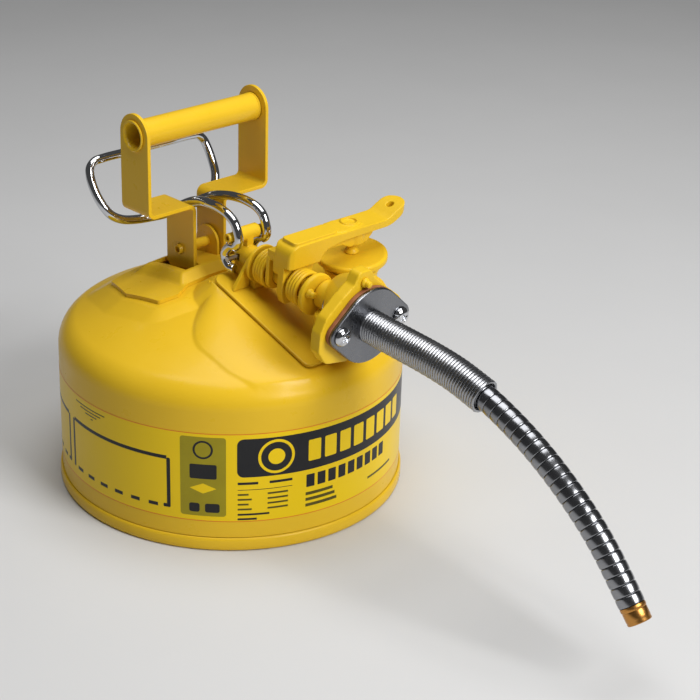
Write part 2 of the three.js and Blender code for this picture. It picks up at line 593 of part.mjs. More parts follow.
// ---- inside the can -----------------------------------------------------------------------
function screenCup(radius, top, depth, lip) {
  return [
    [0, top - depth], [radius, top - depth], [radius, top - 1.2], [lip, top - 1.2], [lip, top],
    [radius - 0.9, top], [radius - 0.9, top - depth + 0.9], [0, top - depth + 0.9],
  ];
}
add(lid, "fill_flame_screen", turned(screenCup(14.6, NECK.top - 1.2, 62, 15.8), 28), steel);
const pourScreen = turned(screenCup(4.6, -24, 52, 5.1), 20).translate(VALVE.inletAt, 0, 0);
add(pour, "pour_flame_screen", pourScreen, steel);
const ventPath = [[84, -16, 112], [70, -16, 116], [40, -14, 121], [0, -12, 126], [-40, -10, 128], [-72, -8, 120]];
const ventPoints = ventPath.map(([x, y, z]) => new THREE.Vector3(x, y, z));
add(can, "vent_tube", bar(ventPoints, 3, 14, 8), steel);

// ---- hose flange and hose -----------------------------------------------------------------
const flangeShape = new THREE.Shape();
const { endR, midR, screwY } = HOSE_FLANGE;
const endAngle = Math.acos((midR - endR) / screwY);
flangeShape.absarc(screwY, 0, endR, -endAngle, endAngle, false);
flangeShape.absarc(0, 0, midR, endAngle, Math.PI - endAngle, false);
flangeShape.absarc(-screwY, 0, endR, Math.PI - endAngle, Math.PI + endAngle, false);
flangeShape.absarc(0, 0, midR, Math.PI + endAngle, 2 * Math.PI - endAngle, false);
flangeShape.closePath();
const gasketSheet = cut(
  solid(slabX(flangeShape, HOUSING.flangeFront + GAP, HOSE_FLANGE.rear - GAP, 8)),
  solid(rodX(11.6, 110, 130, 28)), ...screwHoles,
);
add(pour, "hose_gasket", gasketSheet, cork);

const flangeSheet = solid(slabX(flangeShape, HOSE_FLANGE.rear, HOSE_FLANGE.front, 8));
const flangeCollar = solid(rodX(HOSE.guardR + 1.2, HOSE_FLANGE.front - 0.5, HOSE_FLANGE.front + 1.6, 28));
const flangeBore = solid(rodX(HOSE.radius + GAP, 110, 140, 28));
add(pour, "hose_flange", cut(join(flangeSheet, flangeCollar), flangeBore, ...screwHoles), chrome);

function flangeScrew(side) {
  const head = HOSE_FLANGE.front + GAP;
  const profile = [
    [0, 108], [2, 108], [2, head], [6.2, head], [6.2, head + 0.9], [4.4, head + 3], [1.6, head + 3.8], [0, head + 3.8],
  ];
  return turnedX(profile, 18).translate(0, side * HOSE_FLANGE.screwY, 0);
}
add(pour, "flange_screw_near", flangeScrew(-1), chrome);
add(pour, "flange_screw_far", flangeScrew(1), chrome);

// Hose route in the can's frame: straight out through the guard spring, then one long sag.
const hosePath = [
  [134.6, 154.2], [150, 152.9], [170, 151.6], [190, 150], [210, 147.2], [233.7, 141.2], [252, 134.2],
  [270, 125.6], [287, 115.6], [303, 104.4], [318, 92.2], [331, 79.4], [342.4, 66.2], [351, 55.6],
];
function hoseBar(points, radius, steps, sides) {
  return bar(points.map(([x, z]) => new THREE.Vector3(x, 0, z)), radius, steps, sides);
}
const hoseBody = solid(hoseBar(hosePath, HOSE.radius, 20, 12));
add(can, "metal_hose", hoseBody, steel);
const guardBody = cut(
  solid(hoseBar(hosePath.slice(0, 6), HOSE.guardR, 10, 16)),
  solid(hoseBar(hosePath, HOSE.radius + GAP, 20, 12)),
  solid(rodX(HOSE.guardR + 4, 90, HOSE_FLANGE.front + 1.9, 28).applyMatrix4(pourFrame)),
);
add(can, "hose_guard_spring", guardBody, steel);

const hoseEnd = new THREE.Vector3(351, 0, 55.6);
const hoseDirection = new THREE.Vector3(351 - 342.4, 0, 55.6 - 66.2).normalize();
const tipTurn = new THREE.Quaternion().setFromUnitVectors(new THREE.Vector3(0, 0, 1), hoseDirection);
const tipFrame = new THREE.Matrix4().makeRotationFromQuaternion(tipTurn).setPosition(hoseEnd);
const tipProfile = [
  [0, GAP], [HOSE.tipR + 0.3, GAP], [HOSE.tipR + 0.3, 2.4], [HOSE.tipR, 2.8], [HOSE.tipR, HOSE.tipLength],
  [6.2, HOSE.tipLength], [6.2, 2], [0, 2],
];
add(can, "hose_tip", turned(tipProfile, 24).applyMatrix4(tipFrame), brass);

export default object;
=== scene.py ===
import math

import bmesh
import bpy
from mathutils import Matrix, Vector


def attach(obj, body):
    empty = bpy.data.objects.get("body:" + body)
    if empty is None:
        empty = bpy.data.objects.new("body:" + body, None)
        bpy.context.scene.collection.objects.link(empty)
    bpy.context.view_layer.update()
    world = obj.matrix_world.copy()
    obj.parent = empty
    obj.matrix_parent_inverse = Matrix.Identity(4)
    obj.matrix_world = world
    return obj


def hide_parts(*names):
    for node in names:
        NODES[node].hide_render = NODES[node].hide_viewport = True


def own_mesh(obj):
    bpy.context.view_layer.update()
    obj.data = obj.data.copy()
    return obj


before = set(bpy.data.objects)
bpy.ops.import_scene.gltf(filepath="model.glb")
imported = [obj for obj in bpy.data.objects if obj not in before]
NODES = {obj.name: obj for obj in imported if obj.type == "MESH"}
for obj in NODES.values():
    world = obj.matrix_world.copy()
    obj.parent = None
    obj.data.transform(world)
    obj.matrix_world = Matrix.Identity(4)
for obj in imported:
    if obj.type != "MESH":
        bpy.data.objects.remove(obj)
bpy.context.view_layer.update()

MM = 0.001
CAN_X = -9.975  # the can's axis, in the object's frame
SCENE = bpy.context.scene


def can_matrix():
    """From the can's frame in millimetres to the object's frame in metres."""
    return Matrix.Scale(MM, 4) @ Matrix.Translation((CAN_X, 0, 0))


def turned_frame(x, z, tilt, y=0.0):
    return Matrix.Translation((x, y, z)) @ Matrix.Rotation(math.radians(tilt), 4, "Y")


CAN = Matrix.Identity(4)
POUR = turned_frame(9.5, 166.3, 5.48)
PLATE = turned_frame(10.8, 152.8, 18.25)
CROSS = Matrix.Rotation(math.pi / 2, 4, "X")  # turns a lathe's axis to lie across the can
LID = POUR @ Matrix.Translation((52.3, 53.5, 6.6)) @ Matrix.Rotation(math.radians(5.3), 4, "X")

# ---- camera -------------------------------------------------------------------------------
camera_data = bpy.data.cameras.new("camera")
camera = bpy.data.objects.new("camera", camera_data)
SCENE.collection.objects.link(camera)
camera_data.sensor_width = 36
camera_data.lens = 92.1
camera_data.shift_x = 0.1701
camera_data.shift_y = -0.059
camera.location = ((861.7 + CAN_X) * MM, -0.7273, 0.6139)
camera.rotation_euler = Vector((-0.700, 0.591, -0.401)).to_track_quat("-Z", "Y").to_euler()
SCENE.camera = camera


# ---- materials ----------------------------------------------------------------------------
def new_material(name):
    material = bpy.data.materials.new(name)
    material.use_nodes = True
    nodes = material.node_tree.nodes
    return material, nodes, material.node_tree.links, nodes["Principled BSDF"]


def noise(nodes, links, scale, detail=4.0, roughness=0.6, stretch=(1, 1, 1)):
    coords = nodes.new("ShaderNodeTexCoord")
    mapping = nodes.new("ShaderNodeMapping")
    mapping.inputs["Scale"].default_value = stretch
    texture = nodes.new("ShaderNodeTexNoise")
    texture.inputs["Scale"].default_value = scale
    texture.inputs["Detail"].default_value = detail
    texture.inputs["Roughness"].default_value = roughness
    links.new(coords.outputs["Object"], mapping.inputs["Vector"])
    links.new(mapping.outputs["Vector"], texture.inputs["Vector"])
    return texture.outputs["Fac"]


def ramp(nodes, links, source, stops):
    node = nodes.new("ShaderNodeValToRGB")
    elements = node.color_ramp.elements
    while len(elements) < len(stops):
        elements.new(0.5)
    for element, (at, colour) in zip(elements, stops):
        element.position = at
        element.color = (*colour, 1) if len(colour) == 3 else (colour[0],) * 3 + (1,)
    links.new(source, node.inputs["Fac"])
    return node.outputs["Color"]


def spread(nodes, links, shader, socket, source, low, high, edge=0.3):
    """Drives one of a shader's sockets from low to high by a noise."""
    links.new(ramp(nodes, links, source, [(edge, low), (1 - edge, high)]), shader.inputs[socket])


def bump(nodes, links, shader, source, strength, distance, after=None):
    node = nodes.new("ShaderNodeBump")
    node.inputs["Strength"].default_value = strength
    node.inputs["Distance"].default_value = distance
    links.new(source, node.inputs["Height"])
    if after is not None:
        links.new(after, node.inputs["Normal"])
    links.new(node.outputs["Normal"], shader.inputs["Normal"])
    return node.outputs["Normal"]


def paint_material(name, light, dark, rough=(0.22, 0.36), orange_peel=0.06):
    """Powder coat: a faint mottle, slightly uneven gloss and fine orange peel."""
    material, nodes, links, shader = new_material(name)
    broad = noise(nodes, links, 14, 5)
    spread(nodes, links, shader, "Base Color", broad, dark, light)
    gloss = noise(nodes, links, 60, 3)
    spread(nodes, links, shader, "Roughness", gloss, rough[:1], rough[1:])
    fine = noise(nodes, links, 900, 2)
    soft = noise(nodes, links, 240, 2)
    first = bump(nodes, links, shader, fine, orange_peel, 0.0004)
    bump(nodes, links, shader, soft, orange_peel, 0.0012, first)
    shader.inputs["Coat Weight"].default_value = 0.10
    shader.inputs["Coat Roughness"].default_value = 0.14
    shader.inputs["IOR"].default_value = 1.28
    return material


def metal_material(name, light, dark, rough=(0.08, 0.16), scratch=(1, 1, 1), strength=0.02, scale=180):
    """Polished metal with faint smears in its gloss and very fine scratches."""
    material, nodes, links, shader = new_material(name)
    shader.inputs["Metallic"].default_value = 1.0
    broad = noise(nodes, links, 30, 5)
    spread(nodes, links, shader, "Base Color", broad, dark, light, 0.35)
    smear = noise(nodes, links, 90, 6, 0.7, scratch)
    spread(nodes, links, shader, "Roughness", smear, rough[:1], rough[1:], 0.35)
    bump(nodes, links, shader, noise(nodes, links, scale, 4, 0.7, scratch), strength, 0.0006)
    return material


def plain_material(name, light, dark, rough=(0.5, 0.7), strength=0.1, scale=400, distance=0.0006):
    """Print, rubber or fibre: a matt surface with grain."""
    material, nodes, links, shader = new_material(name)
    shader.inputs["IOR"].default_value = 1.36
    broad = noise(nodes, links, scale / 6, 5)
    spread(nodes, links, shader, "Base Color", broad, dark, light, 0.35)
    gloss = noise(nodes, links, scale / 3, 3)
    spread(nodes, links, shader, "Roughness", gloss, rough[:1], rough[1:])
    bump(nodes, links, shader, noise(nodes, links, scale, 3), strength, distance)
    return material


YELLOW = paint_material("yellow_powder_coat", (0.79, 0.50, 0.022), (0.76, 0.475, 0.018), (0.26, 0.38))
CAST = paint_material("yellow_cast_coat", (0.80, 0.51, 0.018), (0.75, 0.47, 0.014), (0.34, 0.46), 0.12)
LABEL = paint_material("label_yellow", (0.85, 0.585, 0.004), (0.83, 0.565, 0.003), (0.28, 0.34), 0.02)
LABEL_LINE = plain_material("label_orange_line", (0.75, 0.22, 0.01), (0.7, 0.2, 0.01), (0.3, 0.35), 0.02)
PRINT_BLACK = plain_material("label_black", (0.012, 0.012, 0.014), (0.009, 0.009, 0.011), (0.28, 0.36), 0.02)
PRINT_OLIVE = plain_material("label_olive", (0.33, 0.27, 0.004), (0.3, 0.24, 0.003), (0.28, 0.36), 0.02)
PRINT_FINE = plain_material("label_fine_print", (0.10, 0.08, 0.005), (0.07, 0.06, 0.004), (0.3, 0.4), 0.02)
CHROME = metal_material("chrome", (0.66, 0.67, 0.69), (0.58, 0.59, 0.61), (0.05, 0.10), (1, 1, 1), 0.012)
# Painted dark reflection: the flange's chrome is darkened far below the trigger wire's chrome, as if it
# mirrored dark surroundings.
FLANGE_PAINTED_DARK = metal_material(
    "chrome_flange", (0.24, 0.245, 0.26), (0.20, 0.205, 0.22), (0.24, 0.32), (1, 3, 1), 0.01, 90,
)
# Painted dark reflection: the hose's steel is darkened well below bare steel, as if it mirrored dark
# surroundings.
HOSE_STEEL_PAINTED_DARK = metal_material(
    "hose_steel", (0.30, 0.305, 0.32), (0.24, 0.245, 0.26), (0.18, 0.26), (1, 1, 1), 0.01, 90,
)
# Painted dark reflection: the guard spring's steel is darkened below bare steel, as if it mirrored dark
# surroundings.
GUARD_STEEL_PAINTED_DARK = metal_material(
    "guard_steel", (0.40, 0.405, 0.42), (0.34, 0.345, 0.36), (0.24, 0.30), (1, 1, 1), 0.006, 60,
)
STEEL = metal_material("bright_steel", (0.5, 0.5, 0.51), (0.42, 0.42, 0.44), (0.2, 0.34), (1, 1, 1), 0.04)
BRASS = metal_material("coppery_brass", (0.55, 0.27, 0.07), (0.45, 0.20, 0.05), (0.25, 0.4), (1, 1, 1), 0.05)
RUBBER = plain_material("black_rubber", (0.02, 0.02, 0.02), (0.012, 0.012, 0.012), (0.6, 0.8), 0.15, 900)
FIBRE = plain_material("fibre_gasket", (0.33, 0.13, 0.06), (0.24, 0.09, 0.04), (0.5, 0.7), 0.3, 1200)
FLOOR = plain_material("studio_floor", (0.64, 0.64, 0.64), (0.63, 0.63, 0.63), (0.7, 0.8), 0.0, 20)


# ---- mesh helpers -------------------------------------------------------------------------
def make(name, bm, frame_matrix, material, sharp=30.0):
    """A linked object from a bmesh whose points are in millimetres in that frame."""
    bm.transform(can_matrix() @ frame_matrix)
    bmesh.ops.recalc_face_normals(bm, faces=bm.faces)
    data = bpy.data.meshes.new(name)
    limit = math.radians(sharp)
    for face in bm.faces:
        face.smooth = True
    for edge in bm.edges:
        if len(edge.link_faces) == 2 and edge.calc_face_angle(0.0) > limit:
            edge.smooth = False
    bm.to_mesh(data)
    bm.free()
    piece = bpy.data.objects.new(name, data)
    SCENE.collection.objects.link(piece)
    if material is not None:
        data.materials.append(material)
    return piece


def settle(piece):
    """Applies a piece's modifiers."""
    bpy.context.view_layer.update()
    evaluated = piece.evaluated_get(bpy.context.evaluated_depsgraph_get())
    data = bpy.data.meshes.new_from_object(evaluated)
    piece.modifiers.clear()
    old = piece.data
    piece.data = data
    bpy.data.meshes.remove(old)
    return piece


def soften(piece, width, segments=3, angle=32.0):
    """Rounds a piece's sharp edges by a width in millimetres."""
    for edge in piece.data.edges:
        edge.use_edge_sharp = False
    modifier = piece.modifiers.new("round", "BEVEL")
    modifier.width = width * MM
    modifier.segments = segments
    modifier.limit_method = "ANGLE"
    modifier.angle_limit = math.radians(angle)
    modifier.harden_normals = True
    modifier.miter_outer = "MITER_ARC"
    return settle(piece)


def combine(piece, others, operation):
    for other in others:
        modifier = piece.modifiers.new("combine", "BOOLEAN")
        modifier.operation = operation
        modifier.solver = "EXACT"
        modifier.object = other
        settle(piece)
        bpy.data.objects.remove(other)
    return piece


def reshade(piece, sharp=30.0):
    bm = bmesh.new()
    bm.from_mesh(piece.data)
    for face in bm.faces:
        face.smooth = True
    for edge in bm.edges:
        edge.smooth = not (len(edge.link_faces) == 2 and edge.calc_face_angle(0.0) > math.radians(sharp))
    bm.to_mesh(piece.data)
    bm.free()
    return piece


def cast(piece, voxel=0.5, rounds=6):
    """Turns joined blocks into one casting with softened edges and fillets."""
    remesh = piece.modifiers.new("skin", "REMESH")
    remesh.mode = "VOXEL"
    remesh.voxel_size = voxel * MM
    remesh.use_smooth_shade = True
    smooth = piece.modifiers.new("smooth", "SMOOTH")
    smooth.factor = 0.5
    smooth.iterations = rounds
    return settle(piece)


def coat(piece, material):
    """Gives a piece one material in place of any that it has."""
    piece.data.materials.clear()
    piece.data.materials.append(material)
    return piece


def ring_at(bm, radius, height, segments):
    """Points on a circle about Z, or one point where the radius is nothing."""
    if radius < 1e-6:
        return [bm.verts.new((0, 0, height))]
    angles = [2 * math.pi * i / segments for i in range(segments)]
    return [bm.verts.new((radius * math.cos(a), radius * math.sin(a), height)) for a in angles]


def bridge(bm, rings, closed=False):
    """Faces from each ring to the next, where a ring of one point is a pole."""
    pairs = list(zip(rings, rings[1:]))
    if closed:
        pairs.append((rings[-1], rings[0]))
    for low, high in pairs:
        count = max(len(low), len(high))
        for i in range(count if count > 1 else 0):
            j = (i + 1) % count
            if len(low) == 1:
                bm.faces.new((low[0], high[i], high[j]))
            elif len(high) == 1:
                bm.faces.new((low[i], low[j], high[0]))
            else:
                bm.faces.new((low[i], low[j], high[j], high[i]))


def lathe(name, profile, frame_matrix, material, segments=96, closed=True, sharp=30.0, axis="Z"):
    """Turned piece from (radius, height) points about the frame's Z or X."""
    bm = bmesh.new()
    bridge(bm, [ring_at(bm, radius, height, segments) for radius, height in profile], closed)
    if axis == "X":
        bm.transform(Matrix.Rotation(math.pi / 2, 4, "Y"))
    return make(name, bm, frame_matrix, material, sharp)


def rounded(corners, steps=6):
    """Outline with arcs at its corners, from (x, y, radius)."""
    points = []
    count = len(corners)
    for i, (x, y, radius) in enumerate(corners):
        here = Vector((x, y))
        before = (Vector(corners[i - 1][:2]) - here).normalized()
        after = (Vector(corners[(i + 1) % count][:2]) - here).normalized()
        if radius <= 0:
            points.append((x, y))
            continue
        half = before.angle(after) / 2
        reach = radius / math.tan(half)
        centre = here + (before + after).normalized() * (radius / math.sin(half))
        start = here + before * reach - centre
        end = here + after * reach - centre
        sweep = start.angle_signed(end)
        first = math.atan2(start.y, start.x)
        for k in range(steps + 1):
            angle = first - sweep * k / steps
            points.append((centre.x + radius * math.cos(angle), centre.y + radius * math.sin(angle)))
    return points


def prism_mesh(outline, low, high, plane="XY"):
    """Bmesh of an outline pushed from low to high. The outline lies in XY, XZ or YZ."""
    bm = bmesh.new()
    put = {
        "XY": lambda a, b, c: (a, b, c),
        "XZ": lambda a, b, c: (a, c, b),
        "YZ": lambda a, b, c: (c, a, b),
    }[plane]
    bottom = [bm.verts.new(put(a, b, low)) for a, b in outline]
    top = [bm.verts.new(put(a, b, high)) for a, b in outline]
    bm.faces.new(bottom)
    bm.faces.new(top)
    for i in range(len(outline)):
        j = (i + 1) % len(outline)
        bm.faces.new((bottom[i], bottom[j], top[j], top[i]))
    return bm


def prism(name, outline, low, high, frame_matrix, material, plane="XY", sharp=30.0):
    return make(name, prism_mesh(outline, low, high, plane), frame_matrix, material, sharp)


def block(name, x0, x1, y0, y1, z0, z1, frame_matrix, material=None):
    return prism(name, [(x0, y0), (x1, y0), (x1, y1), (x0, y1)], z0, z1, frame_matrix, material)


def circle(radius, x=0.0, y=0.0, steps=48):
    return [
        (x + radius * math.cos(2 * math.pi * i / steps), y + radius * math.sin(2 * math.pi * i / steps))
        for i in range(steps)
    ]


def half_circle(x, y, radius, step):
    """The upper half of a circle, with a step in degrees."""
    angles = [math.radians(a) for a in range(0, 181, step)]
    return [(x + radius * math.cos(a), y + radius * math.sin(a)) for a in angles]


def rod(name, radius, low, high, frame_matrix, material=None, plane="XY", x=0.0, y=0.0, steps=48):
    return prism(name, circle(radius, x, y, steps), low, high, frame_matrix, material, plane)


def smooth_path(points, per_span=8):
    """Centripetal Catmull-Rom points through a list of vectors."""
    points = [Vector(p) for p in points]
    ends = [points[0] * 2 - points[1], *points, points[-1] * 2 - points[-2]]
    result = []
    for i in range(1, len(ends) - 2):
        p0, p1, p2, p3 = ends[i - 1:i + 3]
        t0 = 0.0
        t1 = t0 + max((p1 - p0).length, 1e-6) ** 0.5
        t2 = t1 + max((p2 - p1).length, 1e-6) ** 0.5
        t3 = t2 + max((p3 - p2).length, 1e-6) ** 0.5
        for k in range(per_span):
            t = t1 + (t2 - t1) * k / per_span
            a1 = p0 * ((t1 - t) / (t1 - t0)) + p1 * ((t - t0) / (t1 - t0))
            a2 = p1 * ((t2 - t) / (t2 - t1)) + p2 * ((t - t1) / (t2 - t1))
            a3 = p2 * ((t3 - t) / (t3 - t2)) + p3 * ((t - t2) / (t3 - t2))
            b1 = a1 * ((t2 - t) / (t2 - t0)) + a2 * ((t - t0) / (t2 - t0))
            b2 = a2 * ((t3 - t) / (t3 - t1)) + a3 * ((t - t1) / (t3 - t1))
            result.append(b1 * ((t2 - t) / (t2 - t1)) + b2 * ((t - t1) / (t2 - t1)))
    result.append(points[-1])
    return result


def frames_along(points):
    """Unit tangent, normal and binormal at each point, with no twist."""
    tangents = []
    for i in range(len(points)):
        ahead = points[min(i + 1, len(points) - 1)] - points[max(i - 1, 0)]
        tangents.append(ahead.normalized())
    normal = tangents[0].orthogonal().normalized()
    result = []
    for tangent in tangents:
        normal = (normal - tangent * normal.dot(tangent)).normalized()
        result.append((tangent, normal, tangent.cross(normal)))
    return result


def end_cap(points, radii, axes, end):
    """Stations that round off one end of a swept tube, from its outermost inwards."""
    tangent = axes[end][0]
    out = -tangent if end == 0 else tangent
    stations = []
    for angle in (75, 50, 25):
        a = math.radians(angle)
        centre = points[end] + out * radii[end] * 0.35 * math.sin(a)
        stations.append((centre, radii[end] * math.cos(a) ** 0.6, axes[end]))
    return stations


def sweep(name, points, radii, sides, frame_matrix, material, sharp=40.0, round_ends=True):
    """Round tube along points, with its own radius at each."""
    bm = bmesh.new()
    rings = []
    axes = frames_along(points)
    stations = list(zip(points, radii, axes))
    if round_ends:
        first = end_cap(points, radii, axes, 0)
        last = end_cap(points, radii, axes, -1)
        stations = [*first, *stations, *reversed(last)]
    for centre, radius, (_, normal, binormal) in stations:
        ring = []
        for i in range(sides):
            angle = 2 * math.pi * i / sides
            spoke = normal * radius * math.cos(angle) + binormal * radius * math.sin(angle)
            ring.append(bm.verts.new(centre + spoke))
        rings.append(ring)
    bridge(bm, rings)
    bm.faces.new(rings[0])
    bm.faces.new(rings[-1])
    return make(name, bm, frame_matrix, material, sharp)


def helix(start, end, turns, radius, per_turn, first=0.0):
    """Points wound about the pour frame's X, from start to end along it."""
    count = int(turns * per_turn)
    points = []
    for i in range(count + 1):
        angle = 2 * math.pi * i / per_turn + first
        s = start + (end - start) * i / count
        points.append(Vector((s, radius * math.cos(angle), radius * math.sin(angle))))
    return points


def coil(name, points, wire, frame_matrix, material, sides=10):
    return sweep(name, points, [wire] * len(points), sides, frame_matrix, material, 60.0)


def finish_piece(piece, body, slot, *nodes):
    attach(piece, body)
    if nodes:
        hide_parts(*nodes)
    return piece


# ---- hose: the cord -----------------------------------------------------------------------
HOSE_PATH = [
    (134.6, 154.2), (150, 152.9), (170, 151.6), (190, 150), (210, 147.2), (233.7, 141.2), (252, 134.2),
    (270, 125.6), (287, 115.6), (303, 104.4), (318, 92.2), (331, 79.4), (342.4, 66.2), (351, 55.6),
]
hose_line = smooth_path([(x, 0, z) for x, z in HOSE_PATH], 24)


def measured(points):
    total = [0.0]
    for a, b in zip(points, points[1:]):
        total.append(total[-1] + (b - a).length)
    return total


def resample(points, step):
    """Evenly spaced points along a polyline."""
    along = measured(points)
    count = max(2, int(round(along[-1] / step)))
    result = []
    k = 0
    for i in range(count + 1):
        target = along[-1] * i / count
        while k < len(along) - 2 and along[k + 1] < target:
            k += 1
        part = (target - along[k]) / max(along[k + 1] - along[k], 1e-9)
        result.append(points[k].lerp(points[k + 1], min(max(part, 0.0), 1.0)))
    return result


HOSE_R = 7.95
HOSE_PITCH = 6.2
fine_hose = resample(hose_line, 0.31)


def hose_radius(distance):
    """Strip-wound hose: each band has a rounded crown and a narrow groove after it."""
    phase = (distance / HOSE_PITCH) % 1.0
    if phase < 0.10:
        return HOSE_R - 0.95 * math.sin(math.pi * phase / 0.10) ** 0.5
    crown = math.sin(math.pi * (phase - 0.10) / 0.90)
    return HOSE_R - 0.22 + 0.22 * crown ** 0.5


hose_radii = [hose_radius(d) for d in measured(fine_hose)]
hose = sweep("hose", fine_hose, hose_radii, 48, CAN, HOSE_STEEL_PAINTED_DARK, 60.0, round_ends=False)
finish_piece(hose, "can", "hose_steel", "metal_hose")

# Guard spring: closely wound wire over the first part of the hose.
guard_line = resample(smooth_path([(x, 0, z) for x, z in HOSE_PATH[:6]], 24), 0.125)
GUARD_PITCH = 2.05
GUARD_R = 10.0
guard_axes = frames_along(guard_line)
guard_points = []
for point, (_, normal, binormal), distance in zip(guard_line, guard_axes, measured(guard_line)):
    angle = 2 * math.pi * distance / GUARD_PITCH
    guard_points.append(point + (normal * math.cos(angle) + binormal * math.sin(angle)) * GUARD_R)
guard = coil("guard_spring", guard_points, 1.06, CAN, GUARD_STEEL_PAINTED_DARK, 10)
finish_piece(guard, "can", "hose_steel", "hose_guard_spring")

# Brass end, knurled.
before_tip, tip_at = [Vector((x, 0, z)) for x, z in HOSE_PATH[-2:]]
tip_turn = (tip_at - before_tip).normalized().to_track_quat("Z", "X").to_matrix().to_4x4()
TIP = Matrix.Translation(tip_at) @ tip_turn
tip = lathe("hose_end", [
    (6.2, 1.6), (6.2, 10.6), (6.8, 11.0), (7.2, 10.8), (7.45, 10.2), (7.3, 8.9), (7.45, 8.5), (7.45, 3.6),
    (7.3, 3.2), (7.7, 2.6), (7.8, 1.4), (7.6, 0.5), (7.2, 0.3), (0, 0.3), (0, 1.6),
], TIP, BRASS, 96, True, 40)
finish_piece(tip, "can", "brass", "hose_tip")

# ---- can body -----------------------------------------------------------------------------
BODY_R = 118.9
INSIDE_R = 117.7
SHOULDER_Z, SHOULDER_R, SLOPE = 99.5, 20.5, math.radians(23)
SHOULDER_C = BODY_R - SHOULDER_R
JOIN_R = SHOULDER_C + SHOULDER_R * math.sin(SLOPE)
JOIN_Z = SHOULDER_Z + SHOULDER_R * math.cos(SLOPE)
CAP_R = JOIN_R / math.sin(SLOPE)
CAP_Z = JOIN_Z - CAP_R * math.cos(SLOPE)
PLATE_X, PLATE_Z, PLATE_SLOPE = 10.8, 152.8, math.tan(math.radians(18.25))


def dome_height(radius):
    if radius <= JOIN_R:
        return CAP_Z + math.sqrt(CAP_R ** 2 - radius ** 2)
    return SHOULDER_Z + math.sqrt(max(SHOULDER_R ** 2 - (radius - SHOULDER_C) ** 2, 0.0))


def signed_distance(x, y, outline):
    """Distance to a closed outline, negative inside."""
    best = 1e9
    inside = False
    for i in range(len(outline)):
        ax, ay = outline[i]
        bx, by = outline[(i + 1) % len(outline)]
        dx, dy = bx - ax, by - ay
        t = max(0.0, min(1.0, ((x - ax) * dx + (y - ay) * dy) / (dx * dx + dy * dy)))
        best = min(best, math.hypot(x - ax - t * dx, y - ay - t * dy))
        if (ay > y) != (by > y) and x < ax + (y - ay) * dx / dy:
            inside = not inside
    return -best if inside else best


def ease(t):
    t = max(0.0, min(1.0, t))
    return t * t * (3 - 2 * t)


PAD_OUTLINE = rounded([(6, -24, 10), (106, -24, 8), (106, 76, 30), (6, 76, 14)], 4)
SADDLE_NEAR = [(-70, -50), (-38, -61), (-7, -57), (-3, -43), (-10, -30)]
SADDLE_OUTLINE = SADDLE_NEAR + [(x, -y) for x, y in reversed(SADDLE_NEAR)] + [(-72, 36), (-72, -36)]


def pad_height(x):
    return PLATE_Z - (x - PLATE_X) * PLATE_SLOPE - 3.1


def facet_edge(x):
    """Where the pad's flat near side meets the dome."""
    if x < 52:
        return -24 - 42 * math.sin(math.radians(90 * (x - 6) / 46)) ** 0.9
    return -66 + 9 * ease((x - 72) / 35)


def skin_height(x, y):
    """The stamped dome: shallow cap, raised saddle seat and sloping pad under the base plate."""
    radius = math.hypot(x, y)
    cap = dome_height(radius)
    height = cap
    seat = signed_distance(x, y, SADDLE_OUTLINE)
    if seat < 17:
        height += 3.0 * min((17 - seat) / 13, 1.0)
    fade = ease((116.5 - radius) / 5)
    if x > -30 and radius < 117:
        pad = signed_distance(x, y, PAD_OUTLINE)
        if pad < 15:
            share = max(0.0, min(1.0, (15 - pad) / 14)) * fade
            height += (pad_height(x) - height) * share
    if x > 6 and y < -24 and radius < 117:
        out = (-24 - y) / (-24 - facet_edge(x) + 0.01)
        reach = (-24 - y) - (-24 - facet_edge(x))
        rim = cap + 1.1 * fade
        if out < 1:
            facet = pad_height(x) * (1 - out) + rim * out
            height = max(height, cap + (facet - cap) * fade)
        elif reach < 2.4:
            height = max(height, cap + 1.1 * fade * (1 - ease(reach / 2.4)))
    return height


def arm_well(x, y):
    """The dip under the saddle that leaves room for the feet of the handle's arms as they swing."""
    across = ease((abs(y) - 8) / 2) * ease((27 - abs(y)) / 2)
    return 4.0 * across * ease((x + 62) / 3) * ease((-12 - x) / 3)


def body_mesh():
    segments = 360
    bm = bmesh.new()
    radii = [JOIN_R * i / 128 for i in range(1, 129)]
    angles = [SLOPE + (math.pi / 2 - SLOPE) * i / 26 for i in range(1, 27)]
    radii += [SHOULDER_C + SHOULDER_R * math.sin(a) for a in angles]
    straight = [96, 92, 85.6, 70, 50, 30, 21, 14, 9.7]
    rings = [ring_at(bm, 0, skin_height(0, 0), segments)]
    for radius in radii:
        ring = ring_at(bm, radius, 0, segments)
        for vert in ring:
            vert.co.z = skin_height(vert.co.x, vert.co.y) - arm_well(vert.co.x, vert.co.y)
        rings.append(ring)
    outside = [(BODY_R, height) for height in straight]
    inside = [(INSIDE_R, 9.7), (INSIDE_R, 40), (INSIDE_R, 97), (0, 120)]
    rings += [ring_at(bm, radius, height, segments) for radius, height in outside + inside]
    bridge(bm, rings)
    return bm


body = make("can_body", body_mesh(), CAN, YELLOW, 50)
finish_piece(body, "can", "yellow_paint", "can_top", "can_wall")

pan = lathe("bottom_seam", [
    (0, 6.5), (110, 6.5), (112, 6.2), (113.6, 5), (114.6, 3), (115.2, 1), (116, 0.1), (117.6, 0), (119, 0.15),
    (120.1, 0.8), (120.6, 1.8), (120.65, 4), (120.6, 7.2), (120.2, 8.6), (119.6, 9.3), (119.1, 9.4),
    (118.95, 9.0), (116.8, 9.0), (116.4, 7.9), (0, 7.7),
], CAN, YELLOW, 256, True, 60)
finish_piece(pan, "can", "yellow_paint", "bottom_pan")

# ---- label --------------------------------------------------------------------------------
LABEL_R = 119.0


